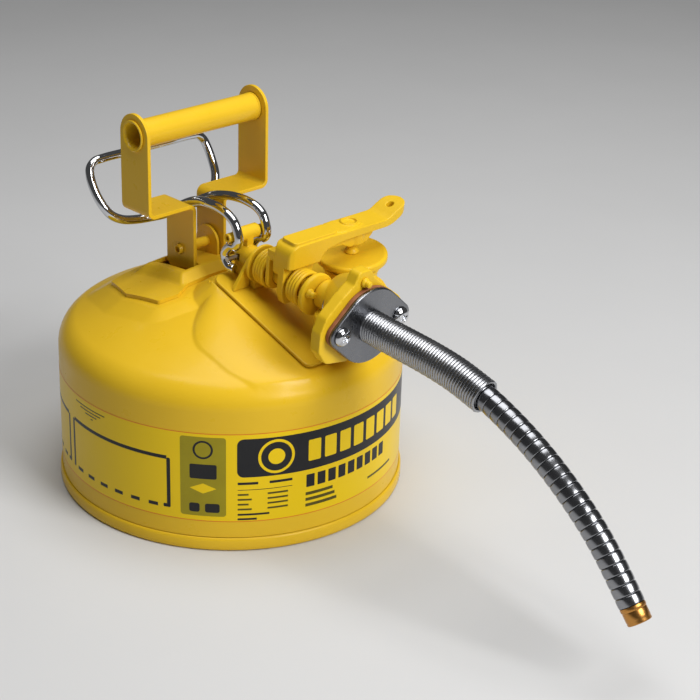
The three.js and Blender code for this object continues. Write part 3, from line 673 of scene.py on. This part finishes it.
def wrap(name, outline, radius, material, thick=0.06, step=1.5):
    """Flat outline in (degrees round the can, height), wrapped on the wall."""
    bm = prism_mesh([(a, z) for a, z in outline], radius, radius + thick)
    low = min(a for a, z in outline)
    high = max(a for a, z in outline)
    cut = math.floor(low / step) * step
    while cut < high:
        if cut > low + 1e-6:
            geometry = bm.verts[:] + bm.edges[:] + bm.faces[:]
            bmesh.ops.bisect_plane(bm, geom=geometry, plane_co=(cut, 0, 0), plane_no=(1, 0, 0))
        cut += step
    for vert in bm.verts:
        angle, height, r = math.radians(vert.co.x), vert.co.y, vert.co.z
        vert.co = (r * math.cos(angle), r * math.sin(angle), height)
    return make(name, bm, CAN, material, 40)


def arc(mm):
    return math.degrees(mm / LABEL_R)


def box_outline(a0, a1, z0, z1, radius=0.0):
    """Rounded box whose corner radius is in millimetres."""
    if radius <= 0:
        return [(a0, z0), (a1, z0), (a1, z1), (a0, z1)]
    x0, x1 = a0 / arc(1), a1 / arc(1)
    flat = rounded([(x0, z0, radius), (x1, z0, radius), (x1, z1, radius), (x0, z1, radius)], 6)
    return [(a * arc(1), z) for a, z in flat]


def printed(name, a0, a1, z0, z1, corner=0.0, material=PRINT_BLACK, lift=0.0):
    """Box printed on the label, from a0 to a1 degrees and z0 to z1 high."""
    return wrap(name, box_outline(a0, a1, z0, z1, corner), LABEL_R + lift, material)


def band(name, low, high, inner, outer, material):
    """Strip all the way round the label."""
    profile = [(inner, low), (outer, low), (outer, high), (inner, high)]
    return lathe(name, profile, CAN, material, 256, True, 40)


label_parts = [
    band("label_band", 21.9, 84.7, LABEL_R - 0.04, LABEL_R, LABEL),
    band("label_line_top", 84.7, 85.3, LABEL_R - 0.05, LABEL_R + 0.02, LABEL_LINE),
    band("label_line_low", 21.3, 21.9, LABEL_R - 0.05, LABEL_R + 0.02, LABEL_LINE),
    printed("label_panel_black", -38.2, 44, 54, 81.6, 4.5),
    printed("label_panel_olive", -56, -41.6, 25.2, 82.6, 2, PRINT_OLIVE),
]


def frame_lines(prefix, a0, a1, z_top, z_low):
    """Black box drawn with a thick line, open below, over a dashed lower edge."""
    w = arc(2.5)
    pieces = [
        printed(prefix + "_top", a0 + w, a1 - w, z_top - 2.5, z_top),
        printed(prefix + "_left", a0, a0 + w, z_low, z_top - 1.4, 1),
        printed(prefix + "_right", a1 - w, a1, z_low, z_top - 1.4, 1),
        printed(prefix + "_foot", a1 - 2.0 * w, a1 - 0.4 * w, z_low, z_low + 2.5, 0.8),
    ]
    count = 6
    span = (a1 - a0) / (count + 0.6)
    for i in range(count):
        at = a0 + span * (i + 0.45)
        pieces.append(printed(f"{prefix}_dash_{i}", at, at + span * 0.5, z_low - 0.4, z_low + 2.1))
    return pieces


label_parts += frame_lines("label_box", -103, -59.3, 66.3, 28.6)
label_parts += frame_lines("label_box_far", -150, -105.6, 66.3, 28.6)


def disc(name, a, z, radius, material, lift):
    angles = [2 * math.pi * i / 64 for i in range(64)]
    outline = [(a + arc(radius) * math.cos(t), z + radius * math.sin(t)) for t in angles]
    return wrap(name, outline, LABEL_R + lift, material)


EMBLEM = (-25.8, 67.8)
OLIVE_DISC = (-48.8, 73.5)
DIAMOND = [(-53, 45.5), (-48.8, 41.8), (-44.6, 45.5), (-48.8, 49.2)]
label_parts += [
    disc("label_disc_outer", *EMBLEM, 12.2, LABEL, 0.05),
    disc("label_disc_inner", *EMBLEM, 10.3, PRINT_BLACK, 0.1),
    disc("label_disc_dot", *EMBLEM, 5.6, LABEL, 0.15),
    disc("label_olive_disc", *OLIVE_DISC, 6.6, PRINT_BLACK, 0.05),
    disc("label_olive_dot", *OLIVE_DISC, 5.2, PRINT_OLIVE, 0.1),
    printed("label_olive_block", -53, -44.5, 52.5, 63, 1.2, lift=0.05),
    wrap("label_olive_diamond", DIAMOND, LABEL_R + 0.05, LABEL),
    printed("label_olive_left", -53.2, -49.9, 28, 34.5, 1.5, lift=0.05),
    printed("label_olive_right", -48.2, -43.6, 28, 34.5, 1.5, lift=0.05),
]
# Plain blocks stand in for all lettering.
for i in range(8):
    at = -15.2 + i * 5.9
    label_parts.append(printed(f"label_word_{i}", at, at + 4.4, 60.2, 75.4, 1, LABEL, 0.05))
for i in range(9):
    at = -15.8 + i * 4.0
    label_parts.append(printed(f"label_line_{i}", at, at + 2.9, 41.2, 50.4, 0.5))
for i, (a0, a1) in enumerate([(-38, -31.6), (-28, -20.6)]):
    label_parts.append(printed(f"label_head_{i}", a0, a1, 48.6, 50.4))
label_parts.append(printed("label_rule", -38, -20.6, 44.6, 45.0))
for i in range(4):
    z = 42.0 - 3.6 * i
    label_parts.append(printed(f"label_row_{i}_a", -38, -34.6 + (i % 2), z - 1.3, z, material=PRINT_FINE))
    label_parts.append(printed(f"label_row_{i}_b", -28.6, -22, z - 1.3, z, material=PRINT_FINE))
for i in range(2):
    z = 27.4 - 3.4 * i
    label_parts.append(printed(f"label_foot_{i}", -38, -32 + 4 * (1 - i), z - 1.4, z))
for i in range(3):
    z = 37.4 - 4.2 * i
    label_parts.append(printed(f"label_size_{i}", -16, -6 + i * 0.8, z - 2.2, z, material=PRINT_FINE))
label_parts.append(printed("label_note", 10, 25, 29.6, 31.2, material=PRINT_FINE))
for i in range(4):
    z = 81 - 2.3 * i
    label_parts.append(printed(f"label_tiny_{i}", -100 + 3 * i, -84 - 2 * i, z - 0.8, z, material=PRINT_FINE))
for piece in label_parts:
    finish_piece(piece, "can", "yellow_paint")

# ---- saddle and base plate ----------------------------------------------------------------


def sliced(bm, x0, x1, y0, y1, step):
    for axis, low, high in ((0, x0, x1), (1, y0, y1)):
        at = low + step
        while at < high:
            normal = Vector((1, 0, 0)) if axis == 0 else Vector((0, 1, 0))
            geometry = bm.verts[:] + bm.edges[:] + bm.faces[:]
            bmesh.ops.bisect_plane(bm, geom=geometry, plane_co=normal * at, plane_no=normal)
            at += step
    return bm


def saddle_rise(x, y):
    """Facets that climb from the plate's end to the lugs."""
    side = abs(y)
    climb = min((35 - side) / 6.5, (x + 64) / 7.0, (-10 - x) / 7.0, 1.0)
    return 5.6 * max(0.0, climb)


saddle = prism("saddle_plate", rounded([(x, y, 2.5) for x, y in SADDLE_OUTLINE], 3), 0, 2.6, CAN, None)
near_slot = block("slot_near", -54, -19, -24, -11.4, -5, 8, CAN)
far_slot = block("slot_far", -54, -19, 11.4, 24, -5, 8, CAN)
combine(saddle, [near_slot, far_slot], "DIFFERENCE")
bm = bmesh.new()
bm.from_mesh(saddle.data)
bm.transform(can_matrix().inverted())
sliced(bm, -74, 0, -62, 62, 1.5)
for vert in bm.verts:
    x, y = vert.co.x, vert.co.y
    vert.co.z += skin_height(x, y) + 0.2 + saddle_rise(x, y)
bm.transform(can_matrix())
bm.to_mesh(saddle.data)
bm.free()
saddle.data.materials.append(YELLOW)
reshade(saddle, 16)
soften(saddle, 0.5, 2, 50)
finish_piece(saddle, "can", "yellow_paint", "handle_saddle")

HANDLE_X, PIVOT_Z, GRIP_Z = -36.5, 157.5, 246.7
LUG_R, ARM_R = 11.5, 14.75
lug_outline = [(HANDLE_X - LUG_R, 134), (HANDLE_X + LUG_R, 134), *half_circle(HANDLE_X, PIVOT_Z, LUG_R, 6)]
for side, name in ((-1, "lug_near"), (1, "lug_far")):
    low, high = sorted((side * 8.9, side * 11.1))
    lug = prism(name, lug_outline, low, high, CAN, YELLOW, "XZ")
    soften(lug, 0.5, 3)
    finish_piece(lug, "can", "yellow_paint")

pivot = lathe("pivot_pin", [
    (2.2, -17.2), (2.6, -17.4), (3.2, -17.3), (3.5, -16.9),
    (3.5, 16.9), (3.2, 17.3), (2.6, 17.4), (2.2, 17.2),
], Matrix.Translation((HANDLE_X, 0, PIVOT_Z)) @ CROSS, YELLOW, 48, True, 50)
finish_piece(pivot, "can", "yellow_paint", "handle_pivot_pin")

plate_outline = rounded([(-2, -24, 7), (99, -24, 5), (99, 76, 12), (-2, 76, 12)], 8)
plate = prism("base_plate_skin", plate_outline, -2.6, 0, PLATE, YELLOW)
reach = lathe("reach", [(0, 60), (111, 60), (111, 200), (0, 200)], CAN, None, 128, False)
combine(plate, [reach], "INTERSECT")
reshade(plate)
soften(plate, 0.9, 3)
finish_piece(plate, "can", "yellow_paint", "base_plate")

# ---- handle -------------------------------------------------------------------------------
strip = rounded([
    (12, 138, 0), (14.6, 138, 0), (14.6, 191.0, 3.1), (52.5, 191.0, 5.7), (52.5, 262, 0), (49.9, 262, 0),
    (49.9, 193.6, 3.1), (12, 193.6, 5.7),
], 10)
ARM_REAR, ARM_FRONT = HANDLE_X - ARM_R, HANDLE_X + ARM_R
face = [(ARM_REAR, 145.4), (ARM_REAR + 4, 141.4), (ARM_FRONT, 147), (ARM_FRONT, GRIP_Z)]
face += half_circle(HANDLE_X, GRIP_Z, ARM_R, 5)
for side, name in ((-1, "near"), (1, "far")):
    outline = [(side * y, z) for y, z in strip]
    arm = prism(f"arm_{name}", outline, ARM_REAR, ARM_FRONT, CAN, YELLOW, "YZ")
    combine(arm, [prism("face", face, -80, 80, CAN, None, "XZ")], "INTERSECT")
    holes = [
        rod("grip_hole", 9.8, side * 40 - 20, side * 40 + 20, CAN, None, "XZ", HANDLE_X, GRIP_Z, 64),
        rod("pin_hole", 3.8, side * 13 - 4, side * 13 + 4, CAN, None, "XZ", HANDLE_X, PIVOT_Z, 40),
    ]
    combine(arm, holes, "DIFFERENCE")
    reshade(arm)
    soften(arm, 0.55, 3)
    finish_piece(arm, "handle", "yellow_paint", f"handle_arm_{name}")

GRIP = Matrix.Translation((HANDLE_X, 0, GRIP_Z)) @ CROSS
grip_top = [
    (8.0, 0), (8.0, 51), (8.3, 53), (9.3, 54.1), (10.2, 54.2), (10.75, 53.7), (10.6, 53.0), (9.8, 52.7),
    (9.5, 49.6), (9.9, 49.4), (9.9, 48.6), (9.5, 48.2), (9.5, 0),
]
grip_profile = grip_top + [(r, -z) for r, z in reversed(grip_top)][1:-1]
grip = lathe("grip_tube", grip_profile, GRIP, YELLOW, 96, True, 40)
finish_piece(grip, "handle", "yellow_paint", "handle_grip")

# ---- trigger wire -------------------------------------------------------------------------
STEM_PIN = POUR @ Vector((6, 0, 0))
FULCRUM_AT = (5.3, 15.6)  # along the pour axis and above it
FULCRUM = POUR @ Vector((FULCRUM_AT[0], 0, FULCRUM_AT[1]))
WIRE_R = 3.175


def around(centre, radius, degrees):
    angle = math.radians(degrees)
    return Vector((centre.x + radius * math.cos(angle), 12.3, centre.z + radius * math.sin(angle)))


half_wire = [around(STEM_PIN, 6.9, a) for a in (-72, -98, -125, -160, -195, -228)]
half_wire += [around(FULCRUM, 6.75, a) for a in (-98, -62, -30, 0, 30)]
half_wire += [Vector(p) for p in (
    (18.9, 12.3, 191.4), (12.9, 12.2, 195.3), (2, 11.6, 197.4), (-10, 10.6, 197.2), (-20, 8.9, 195.7),
    (-30, 8.1, 192.6), (-41, 8.1, 187), (-52, 8.1, 179.8), (-60.5, 9.6, 174.6), (-66.5, 16, 172.4),
    (-69.5, 27, 172.4), (-71, 38, 174.6), (-73, 46, 179.2), (-76.6, 50.2, 186), (-82.4, 52, 194.6),
    (-87.6, 51.8, 203.6), (-90.2, 50, 209.4), (-91.2, 45.4, 213), (-91.4, 38, 213.8), (-91.4, 20, 213.8),
)]
whole_wire = half_wire + [Vector((p.x, -p.y, p.z)) for p in reversed(half_wire)]
wire_line = resample(smooth_path(whole_wire, 10), 0.9)
bail = sweep("trigger_wire", wire_line, [WIRE_R] * len(wire_line), 28, CAN, CHROME, 50)
finish_piece(bail, "trigger", "chrome_wire", "trigger_bail")

# ---- fulcrum post, hub and spindle --------------------------------------------------------
def under_plate():
    """Cutter for all that lies under the base plate's upper face and its gap."""
    return block("under", -80, 200, -150, 150, -120, 0.3, PLATE)


hub = lathe("post_casting", [
    (4.3, -1), (6.6, -1), (7.6, -0.4), (8, 0.6), (8, 20.1), (9, 20.6), (13.1, 21.6), (13.5, 22), (13.5, 23.7),
    (13.2, 24), (4.3, 24),
], POUR, None, 64, True, 30, "X")
combine(hub, [
    rod("cross", 5, -8.6, 8.6, POUR, None, "XZ", *FULCRUM_AT),
    block("web", 1.4, 10.2, -2.75, 2.75, 6, 15.6, POUR),
    block("pedestal", 2, 23.4, -6, 6, -40, -6, POUR),
], "UNION")
combine(hub, [
    block("pin_slot", -10, 8.6, -20, 20, -2.4, 2.4, POUR),
    rod("fulcrum_bore", 3.4, -20, 20, POUR, None, "XZ", *FULCRUM_AT),
    under_plate(),
], "DIFFERENCE")
cast(hub, 0.34, 4)
coat(hub, CAST)
finish_piece(hub, "can", "yellow_paint", "fulcrum_post")

fulcrum_pin = lathe("fulcrum_rivet", [
    (1.6, -16.8), (1.9, -17), (2.8, -17), (3.1, -16.6), (3.1, 16.6), (2.8, 17), (1.9, 17), (1.6, 16.8),
], Matrix.Translation(FULCRUM) @ CROSS, CAST, 40, True, 50)
finish_piece(fulcrum_pin, "can", "yellow_paint", "fulcrum_pin")

for side, name in ((-1, "near"), (1, "far")):
    outline = [(side * 7.2, 3), (side * 8.4, 3.6), (side * 9.2, 2.6), (side * 22.6, -20), (side * 27, -40),
               (side * 7.2, -40)]
    fin = prism(f"gusset_fin_{name}", outline, 16.9, 19.7, POUR, CAST, "YZ")
    combine(fin, [under_plate()], "DIFFERENCE")
    reshade(fin)
    soften(fin, 0.45, 3)
    finish_piece(fin, "can", "yellow_paint", f"gusset_{name}")

spindle = lathe("spindle", [(4.4, 24.3), (6.6, 24.3), (7, 24.7), (7, 73.3), (6.6, 73.7), (4.4, 73.7)],
                POUR, CAST, 64, True, 40, "X")
finish_piece(spindle, "can", "yellow_paint", "spindle_tube")


def torsion_spring(name, start, length, turns, node):
    points = helix(start + 1.4, start + length - 1.4, turns, 11.2, 40, -math.pi / 2)
    spring = coil(name, points, 1.35, POUR, CAST, 14)
    return finish_piece(spring, "can", "yellow_paint", node)


torsion_spring("lid_spring_rear", 24.6, 14.2, 4.6, "rear_torsion_spring")
torsion_spring("lid_spring_front", 57.6, 13.4, 4.4, "front_torsion_spring")

# ---- fill lid -----------------------------------------------------------------------------


def bezier(p0, p1, p2, p3, steps=10):
    """Points of a cubic curve, without its first."""
    points = []
    for i in range(1, steps + 1):
        t = i / steps
        u = 1 - t
        shares = (u ** 3, 3 * u * u * t, 3 * u * t * t, t ** 3)
        points.append(tuple(sum(k * c for k, c in zip(shares, axis)) for axis in zip(p0, p1, p2, p3)))
    return points


LEVER_S = 53  # the lever's middle, along the pour axis
lever_side = [(-12, 13.6), (-12, 20)]
lever_side += bezier((-12, 20), (-11.8, 26.6), (-9.5, 29.4), (-3, 29.6))
lever_side += [(24, 29.8), (33, 29.3), (46, 29.2), (72, 28.9)]
lever_side += bezier((72, 28.9), (79, 29), (81, 35), (94, 36.9))
lever_side += [(105, 38), (105, 34)]
lever_side += bezier((105, 34), (90, 33), (86, 24.4), (74, 23.6))
lever_side += [(51, 23.5), (36, 23.3), (25.6, 21.8)]
lever_side += bezier((25.6, 21.8), (20, 21.6), (18, 19.6), (14.6, 13.6), 6)
lever_plan = [(5.5, -12.6), (8.2, -11.4), (9.5, -8.5), (9.5, 76), *half_circle(0, 85.5, 9.4, 10)]
lever_plan += [(-9.5, 76), (-9.5, 36), *bezier((-9.5, 36), (-9.5, 31), (-7.5, 31), (-7.5, 27))]
lever_plan += [(-7.5, -8.5), (-6.2, -11.4), (-3.5, -12.6)]
lever_plan = [(LEVER_S + x, y) for x, y in lever_plan]
lever = prism("lid_lever", lever_side, 30, 80, POUR, None, "YZ")
combine(lever, [prism("plan", lever_plan, 0, 60, POUR, None)], "INTERSECT")
knuckle_side = rounded([
    (-12, 18, 0), (-12, -6, 4), (-9, -13.6, 2.5), (-3, -13.6, 2.5), (-1, -12, 1), (9, -9, 8), (13.5, 4, 5),
    (16, 18, 0),
], 5)
hook_side = rounded([(-12, 18, 0), (-12, 5, 4), (13.5, 5, 4), (16, 18, 0)], 5)
cheek_side = rounded([(-12, 15.5, 0), (-12, -9, 8), (12, -9, 8), (12, 15.5, 0)], 6)
stiffener_side = rounded([
    (10, 25, 0), (14, 17.8, 4), (38, 17.8, 2), (45, 14.5, 2), (61, 14.5, 4), (70, 25, 0),
], 6)
pad_plan = rounded([(47, -7.5, 3), (61.4, -7.5, 3), (61.4, 32, 6), (47, 32, 6)], 6)
rim_plan = rounded([
    (46.6, 30, 2), (60.6, 30, 2), (62, 38.5, 3), (58, 56, 4), (48, 56, 4), (44.6, 38.5, 3),
], 6)
emblem_boss = [(LEVER_S + 5.7 * x, 47.5 + 6.4 * y) for x, y in circle(1)]
emblem_dish = [(LEVER_S + 4.5 * x, 47.5 + 5.2 * y) for x, y in circle(1)]
combine(lever, [
    prism("knuckle", knuckle_side, 51.4, 57, POUR, None, "YZ"),
    prism("knuckle_top", hook_side, 46.2, 55, POUR, None, "YZ"),
    prism("cheek", cheek_side, 39.5, 42.5, POUR, None, "YZ"),
    block("bridge", 39.5, 47, -11.5, 14, 14, 21, POUR),
    prism("stiffener", stiffener_side, 47.4, 58.2, POUR, None, "YZ"),
    rod("post_collar", 7.4, 14.5, 25, POUR, None, "XY", 52.3, 53.5),
    prism("top_pad", pad_plan, 26, 31.5, POUR, None),
    prism("arm_rim", rim_plan, 26, 30.3, POUR, None),
    prism("emblem_boss", emblem_boss, 26, 31.5, POUR, None),
], "UNION")
combine(lever, [
    rod("spindle_bore", 7.4, 30, 80, POUR, None, "YZ"),
    rod("lock_hole", 2.5, 0, 60, POUR, None, "XY", LEVER_S, 85),
    prism("emblem_dish", emblem_dish, 30.0, 60, POUR, None),
], "DIFFERENCE")
cast(lever, 0.4, 4)
coat(lever, CAST)
finish_piece(lever, "fill_lid", "yellow_paint", "fill_lid_lever")

post = lathe("lid_post", [
    (0, 0.3), (4.6, 0.3), (5, 0.8), (4.6, 2), (3.6, 3), (3.4, 4), (3.4, 7.2), (0, 7.2),
], LID, CAST, 40, False, 40)
finish_piece(post, "fill_lid", "yellow_paint", "fill_lid_post")
lid_cap = lathe("lid_disc", [
    (0, -5), (22.6, -5), (23.6, -4.9), (24.2, -4.3), (24.3, -3.5), (24.3, -1.5), (24.0, -0.6), (23.2, -0.1),
    (22, 0), (21, -0.1), (20.2, -0.3), (12, 0.05), (0, 0.1),
], LID, CAST, 160, False, 50)
finish_piece(lid_cap, "fill_lid", "yellow_paint", "fill_lid_cap")
lid_gasket = lathe("lid_gasket_ring", [
    (13.7, -8.3), (18.4, -8.3), (18.9, -7.9), (19, -7.2), (19, -6), (18.7, -5.4), (13.7, -5.3),
], LID, RUBBER, 96, True, 40)
finish_piece(lid_gasket, "fill_lid", "lid_gasket", "fill_lid_gasket")

# ---- manifold housing ---------------------------------------------------------------------
NOSE_R, NOSE_S = 29.0, 114.2


def housing_cone():
    """Round cone whose rear end leans towards the fill neck."""
    bm = bmesh.new()
    rings = []
    profile = [
        (0, 78.1), (9, 78.1), (11.5, 79.6), (14.5, 84), (19, 92), (24, 102), (28, 109.5), (NOSE_R, NOSE_S),
        (0, NOSE_S),
    ]
    for radius, s in profile:
        t = max(0.0, min(1.0, (s - 78) / (NOSE_S - 78)))
        middle = 17 * (1 - t)
        ring = ring_at(bm, radius, 0, 64)
        for vert in ring:
            vert.co = (s, middle + vert.co.x, vert.co.y)
        rings.append(ring)
    bridge(bm, rings)
    return make("housing_casting", bm, POUR, None)


def rod_between(name, start, end, radius):
    start, end = Vector(start), Vector(end)
    turn = (end - start).normalized().to_track_quat("Z", "X").to_matrix().to_4x4()
    return rod(name, radius, 0, (end - start).length, POUR @ Matrix.Translation(start) @ turn)


housing_outline = rounded([
    (-34, 12, 6), (-21, 23, 6), (-12.5, 29, 4), (-9, 37, 4), (1, 37, 4), (5.5, 29.5, 4), (13, 23.5, 5),
    (30, 10, 5), (34, 2, 3), (30, -8, 5), (14, -22, 7),
    (-14, -24, 7), (-31, -21, 6), (-38, -11, 5), (-38, 2, 5),
], 6)
neck_profile = [(0, -47), (17.8, -47), (17.8, -13), (19.2, -11.5), (19.2, -8.9), (0, -8.9)]
housing = housing_cone()
combine(housing, [
    prism("ears", housing_outline, 113.2, 121.6, POUR, None, "YZ"),
    lathe("neck", neck_profile, LID, None, 64, False),
    rod_between("duct", (93, 8, -10), (58, 46, -20), 11),
    rod("foot", 11, -44, -8, POUR, None, "XY", 92, 0),
    rod("throat", 10, 78.3, 96, POUR, None, "YZ", 5.5, 0),
], "UNION")
combine(housing, [
    under_plate(),
    rod("neck_bore", 16.2, -60, 10, LID, None),
    rod("spring_room", 15.4, 40, 78, POUR, None, "YZ"),
    rod("outlet", 12, 104, 130, POUR, None, "YZ"),
], "DIFFERENCE")
cast(housing, 0.55, 5)
coat(housing, CAST)
finish_piece(housing, "can", "yellow_paint", "manifold_housing")

gland = lathe("gland_plate", [
    (4.4, 74), (13.9, 74), (14.4, 74.5), (14.5, 75.2), (14.5, 76.6), (14.3, 77.3), (13.7, 77.7), (4.4, 77.7),
], POUR, CAST, 96, True, 50, "X")
finish_piece(gland, "can", "yellow_paint", "stem_gland_plate")


def rivet(name, s, y, w, node):
    head = lathe(name, [
        (0, s), (3.1, s), (3.3, s + 0.4), (3.2, s + 1.2), (2.6, s + 1.8), (2.1, s + 2.2), (2.1, s + 4.6),
        (1.7, s + 5), (0, s + 5),
    ], POUR @ Matrix.Translation((0, y, w)), CAST, 32, False, 50, "X")
    return finish_piece(head, "can", "bright_hardware", node)


rivet("gland_pin", 78, -8, 4, "gland_rivet")
rivet("ear_pin", 121.9, -4, 29.4, "ear_rivet")

# ---- hose flange --------------------------------------------------------------------------
SCREW_Y = 25.3


def flange_outline():
    """Round middle and two small round ends, joined by their common tangents."""
    end_r, mid_r = 8.5, 25.7
    turn = math.acos((mid_r - end_r) / SCREW_Y)
    arcs = [
        (SCREW_Y, end_r, -turn, turn), (0, mid_r, turn, math.pi - turn),
        (-SCREW_Y, end_r, math.pi - turn, math.pi + turn), (0, mid_r, math.pi + turn, 2 * math.pi - turn),
    ]
    points = []
    for centre, radius, start, end in arcs:
        for i in range(24):
            angle = start + (end - start) * i / 24
            points.append((centre + radius * math.cos(angle), radius * math.sin(angle)))
    return points


gasket = prism("flange_gasket", flange_outline(), 121.9, 124.7, POUR, FIBRE, "YZ", 50)
soften(gasket, 0.4, 2, 50)
finish_piece(gasket, "can", "hose_gasket", "hose_gasket")
flange = prism("flange_plate", flange_outline(), 125, 127.8, POUR, FLANGE_PAINTED_DARK, "YZ", 50)
soften(flange, 1.1, 4, 50)
finish_piece(flange, "can", "chrome_wire", "hose_flange")


def screw(name, side, node):
    head = lathe(name, [
        (0, 112), (2, 112), (2, 128.1), (6.1, 128.1), (6.2, 128.5), (6.1, 129.0), (5.6, 130), (4.6, 130.9),
        (3.0, 131.6), (0, 131.9),
    ], POUR @ Matrix.Translation((0, side * SCREW_Y, 0)), CHROME, 64, False, 50, "X")
    cuts = []
    for turn in (20, 110):
        spin = Matrix.Rotation(math.radians(turn), 4, "X")
        place = POUR @ Matrix.Translation((0, side * SCREW_Y, 0)) @ spin
        cuts.append(block("recess", 130.1, 133, -0.6, 0.6, -2.9, 2.9, place))
    combine(head, cuts, "DIFFERENCE")
    coat(head, CHROME)
    reshade(head, 35)
    return finish_piece(head, "can", "chrome_wire", node)


screw("flange_bolt_near", -1, "flange_screw_near")
screw("flange_bolt_far", 1, "flange_screw_far")

# ---- pour valve's spring ------------------------------------------------------------------
# It is pressed shorter as the trigger pulls the valve off its seat; here it is built at one fixed length.
VALVE_SPRING = (91.2, 102.0)
spring_line = helix(*VALVE_SPRING, 5, 8.6, 32)
valve_spring = coil("valve_spring", spring_line, 0.8, POUR, STEEL, 12)
finish_piece(valve_spring, "can", "bright_hardware", "pour_valve_spring")
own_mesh(valve_spring)

# ---- what stays as it is ------------------------------------------------------------------
for node, material in {
    "valve_stem": STEEL, "stem_cross_pin": STEEL, "pour_valve_disc": BRASS, "pour_valve_seal": RUBBER,
    "fill_flame_screen": STEEL, "pour_flame_screen": STEEL, "vent_tube": STEEL,
}.items():
    coat(NODES[node], material)

# ---- studio -------------------------------------------------------------------------------
bm = bmesh.new()
bmesh.ops.create_grid(bm, x_segments=2, y_segments=2, size=4000)
floor = make("floor", bm, CAN, FLOOR)

world = bpy.data.worlds.new("studio")
SCENE.world = world
world.use_nodes = True
world.node_tree.nodes["Background"].inputs["Color"].default_value = (1, 1, 1, 1)
world.node_tree.nodes["Background"].inputs["Strength"].default_value = 0.07


def area_light(name, location, target, size, energy, size_y=None):
    data = bpy.data.lights.new(name, "AREA")
    data.energy = energy
    data.size = size
    if size_y is not None:
        data.shape = "RECTANGLE"
        data.size_y = size_y
    light = bpy.data.objects.new(name, data)
    SCENE.collection.objects.link(light)
    light.location = location
    light.rotation_euler = (Vector(target) - Vector(location)).to_track_quat("-Z", "Y").to_euler()


area_light("key", (1.60, 0.15, 1.20), (0, 0, 0.1), 0.9, 30)
area_light("top", (0.0, 0.1, 1.7), (0, 0, 0.1), 1.3, 19)

SCENE.view_settings.view_transform = "Standard"
